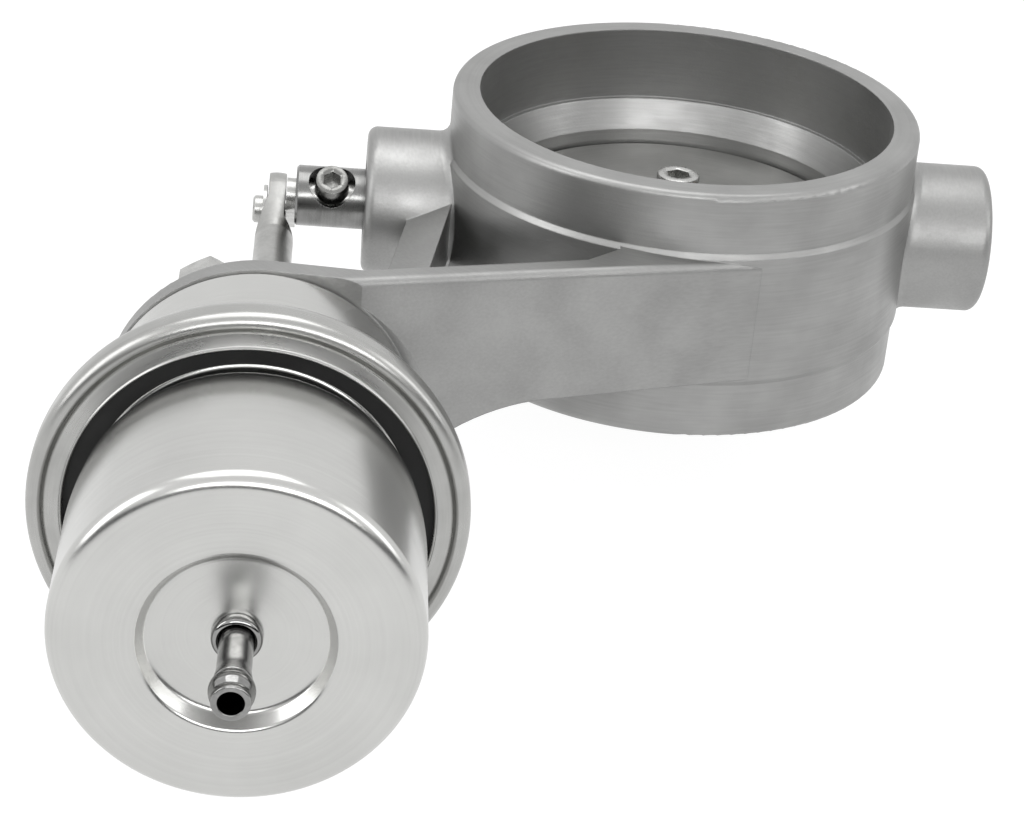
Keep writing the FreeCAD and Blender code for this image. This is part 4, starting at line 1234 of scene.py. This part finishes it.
@dataclass
class Studio:
    """The camera at the photograph's view, the floor, the lamps and the white background."""

    camera_place: tuple[float, float, float] = (-65.86, -500.95, 239.70)
    azimuth: float = -4.46
    elevation: float = 27.26
    roll: float = 5.48
    lens: float = 102.33
    sensor: float = 36.0
    nearest: float = 10.0
    floor_height: float = -22.8
    floor_size: float = 2000.0
    floor_glow: float = 0.92
    # the room's dark front band ends where a direction's part along Y or Z runs through these values
    behind: tuple[float, float] = (-0.4, 0.3)
    below: tuple[float, float] = (-0.18, -0.34)
    above: tuple[float, float] = (0.2, 0.38)
    soft_light: float = 0.45
    mirrored_light: float = 1.15

    def build(self) -> None:
        """Sets up all that isn't part of the object."""
        self.camera()
        self.floor()
        for softbox in SOFTBOXES:
            softbox.hang()
        self.world()
        bpy.context.scene.view_settings.view_transform = "Standard"

    def camera(self) -> None:
        """Places the camera where the photograph was taken from."""
        azimuth, elevation, roll = (math.radians(a) for a in (self.azimuth, self.elevation, self.roll))
        level_part = math.cos(elevation)
        back = Vector((math.sin(azimuth) * level_part, -math.cos(azimuth) * level_part, math.sin(elevation)))
        level = Vector((math.cos(azimuth), math.sin(azimuth), 0))
        upright = back.cross(level)
        right = math.cos(roll) * level + math.sin(roll) * upright
        up = -math.sin(roll) * level + math.cos(roll) * upright
        data = bpy.data.cameras.new("camera")
        data.lens = self.lens
        data.sensor_width = self.sensor
        data.clip_start = self.nearest * MM
        camera = bpy.data.objects.new("camera", data)
        turn = Matrix((right, up, back)).transposed().to_4x4()
        camera.matrix_world = Matrix.Translation(Vector(self.camera_place) * MM) @ turn
        bpy.context.scene.collection.objects.link(camera)
        bpy.context.scene.camera = camera

    def floor(self) -> None:
        """Lays a pale floor that is white to the camera and in reflections, and keeps a faint shadow."""
        bm = bmesh.new()
        bmesh.ops.create_grid(bm, x_segments=1, y_segments=1, size=self.floor_size)
        place = Matrix.Scale(MM, 4) @ Matrix.Translation((0, 0, self.floor_height))
        piece = finished(bm, "studio_floor", place)
        material = bpy.data.materials.new("matt_white_floor")
        material.use_nodes = True
        tree = material.node_tree
        tree.nodes.clear()
        paint = add_node(tree, "ShaderNodeBsdfDiffuse", {"Color": linear("#e6e6e6")})
        glow = add_node(tree, "ShaderNodeEmission", {"Color": linear(WHITE), "Strength": self.floor_glow})
        faint = add_node(tree, "ShaderNodeBsdfDiffuse", {"Color": linear("#7c7c7c")})
        both = add_node(tree, "ShaderNodeAddShader", links={0: faint.outputs[0], 1: glow.outputs[0]})
        ray = add_node(tree, "ShaderNodeLightPath").outputs
        seen = larger(tree, ray["Is Camera Ray"], ray["Is Glossy Ray"])
        seen = larger(tree, seen, ray["Is Transmission Ray"])
        shaders = {0: seen, 1: paint.outputs[0], 2: both.outputs[0]}
        mixed = add_node(tree, "ShaderNodeMixShader", links=shaders)
        add_node(tree, "ShaderNodeOutputMaterial", links={0: mixed.outputs[0]})
        piece.data.materials.append(material)

    def world(self) -> None:
        """Gives the camera a white background, and the metal a room that is darker in front."""
        world = bpy.data.worlds.new("studio")
        bpy.context.scene.world = world
        world.use_nodes = True
        tree = world.node_tree
        tree.nodes.clear()
        towards = add_node(tree, "ShaderNodeTexCoord").outputs["Generated"]
        split = add_node(tree, "ShaderNodeSeparateXYZ", links={0: towards}).outputs
        behind = ramp(tree, split[1], *self.behind, kind="SMOOTHSTEP")
        below = ramp(tree, split[2], *self.below, kind="SMOOTHSTEP")
        above = ramp(tree, split[2], *self.above, kind="SMOOTHSTEP")
        pale = larger(tree, larger(tree, behind, below), above)
        room = blend(tree, pale, "#333334", "#f4f4f4")
        ray = add_node(tree, "ShaderNodeLightPath").outputs
        shiny = larger(tree, ray["Is Glossy Ray"], ray["Is Transmission Ray"])
        soft = add_node(tree, "ShaderNodeBackground", {"Color": linear(WHITE), "Strength": self.soft_light})
        mirrored = add_node(tree, "ShaderNodeBackground", {"Strength": self.mirrored_light}, {0: room})
        white = add_node(tree, "ShaderNodeBackground", {"Color": linear(WHITE), "Strength": 1.0})
        lights = {0: shiny, 1: soft.outputs[0], 2: mirrored.outputs[0]}
        inner = add_node(tree, "ShaderNodeMixShader", links=lights)
        sights = {0: ray["Is Camera Ray"], 1: inner.outputs[0], 2: white.outputs[0]}
        outer = add_node(tree, "ShaderNodeMixShader", links=sights)
        add_node(tree, "ShaderNodeOutputWorld", links={0: outer.outputs[0]})


@dataclass
class CutoutValve:
    """The whole valve, built sub-assembly by sub-assembly."""

    parts: list = field(
        default_factory=lambda: [Casting(), ShaftGroup(), RodGroup(), Actuator(), Fasteners()]
    )

    def build(self) -> None:
        """Builds every sub-assembly in order."""
        for part in self.parts:
            log.info("building %s", type(part).__name__)
            part.build()


def main() -> None:
    """Sets up the studio and builds the valve."""
    logging.basicConfig(level=logging.INFO, format="%(name)s: %(message)s")
    Studio().build()
    CutoutValve().build()


if __name__ == "__main__":
    main()
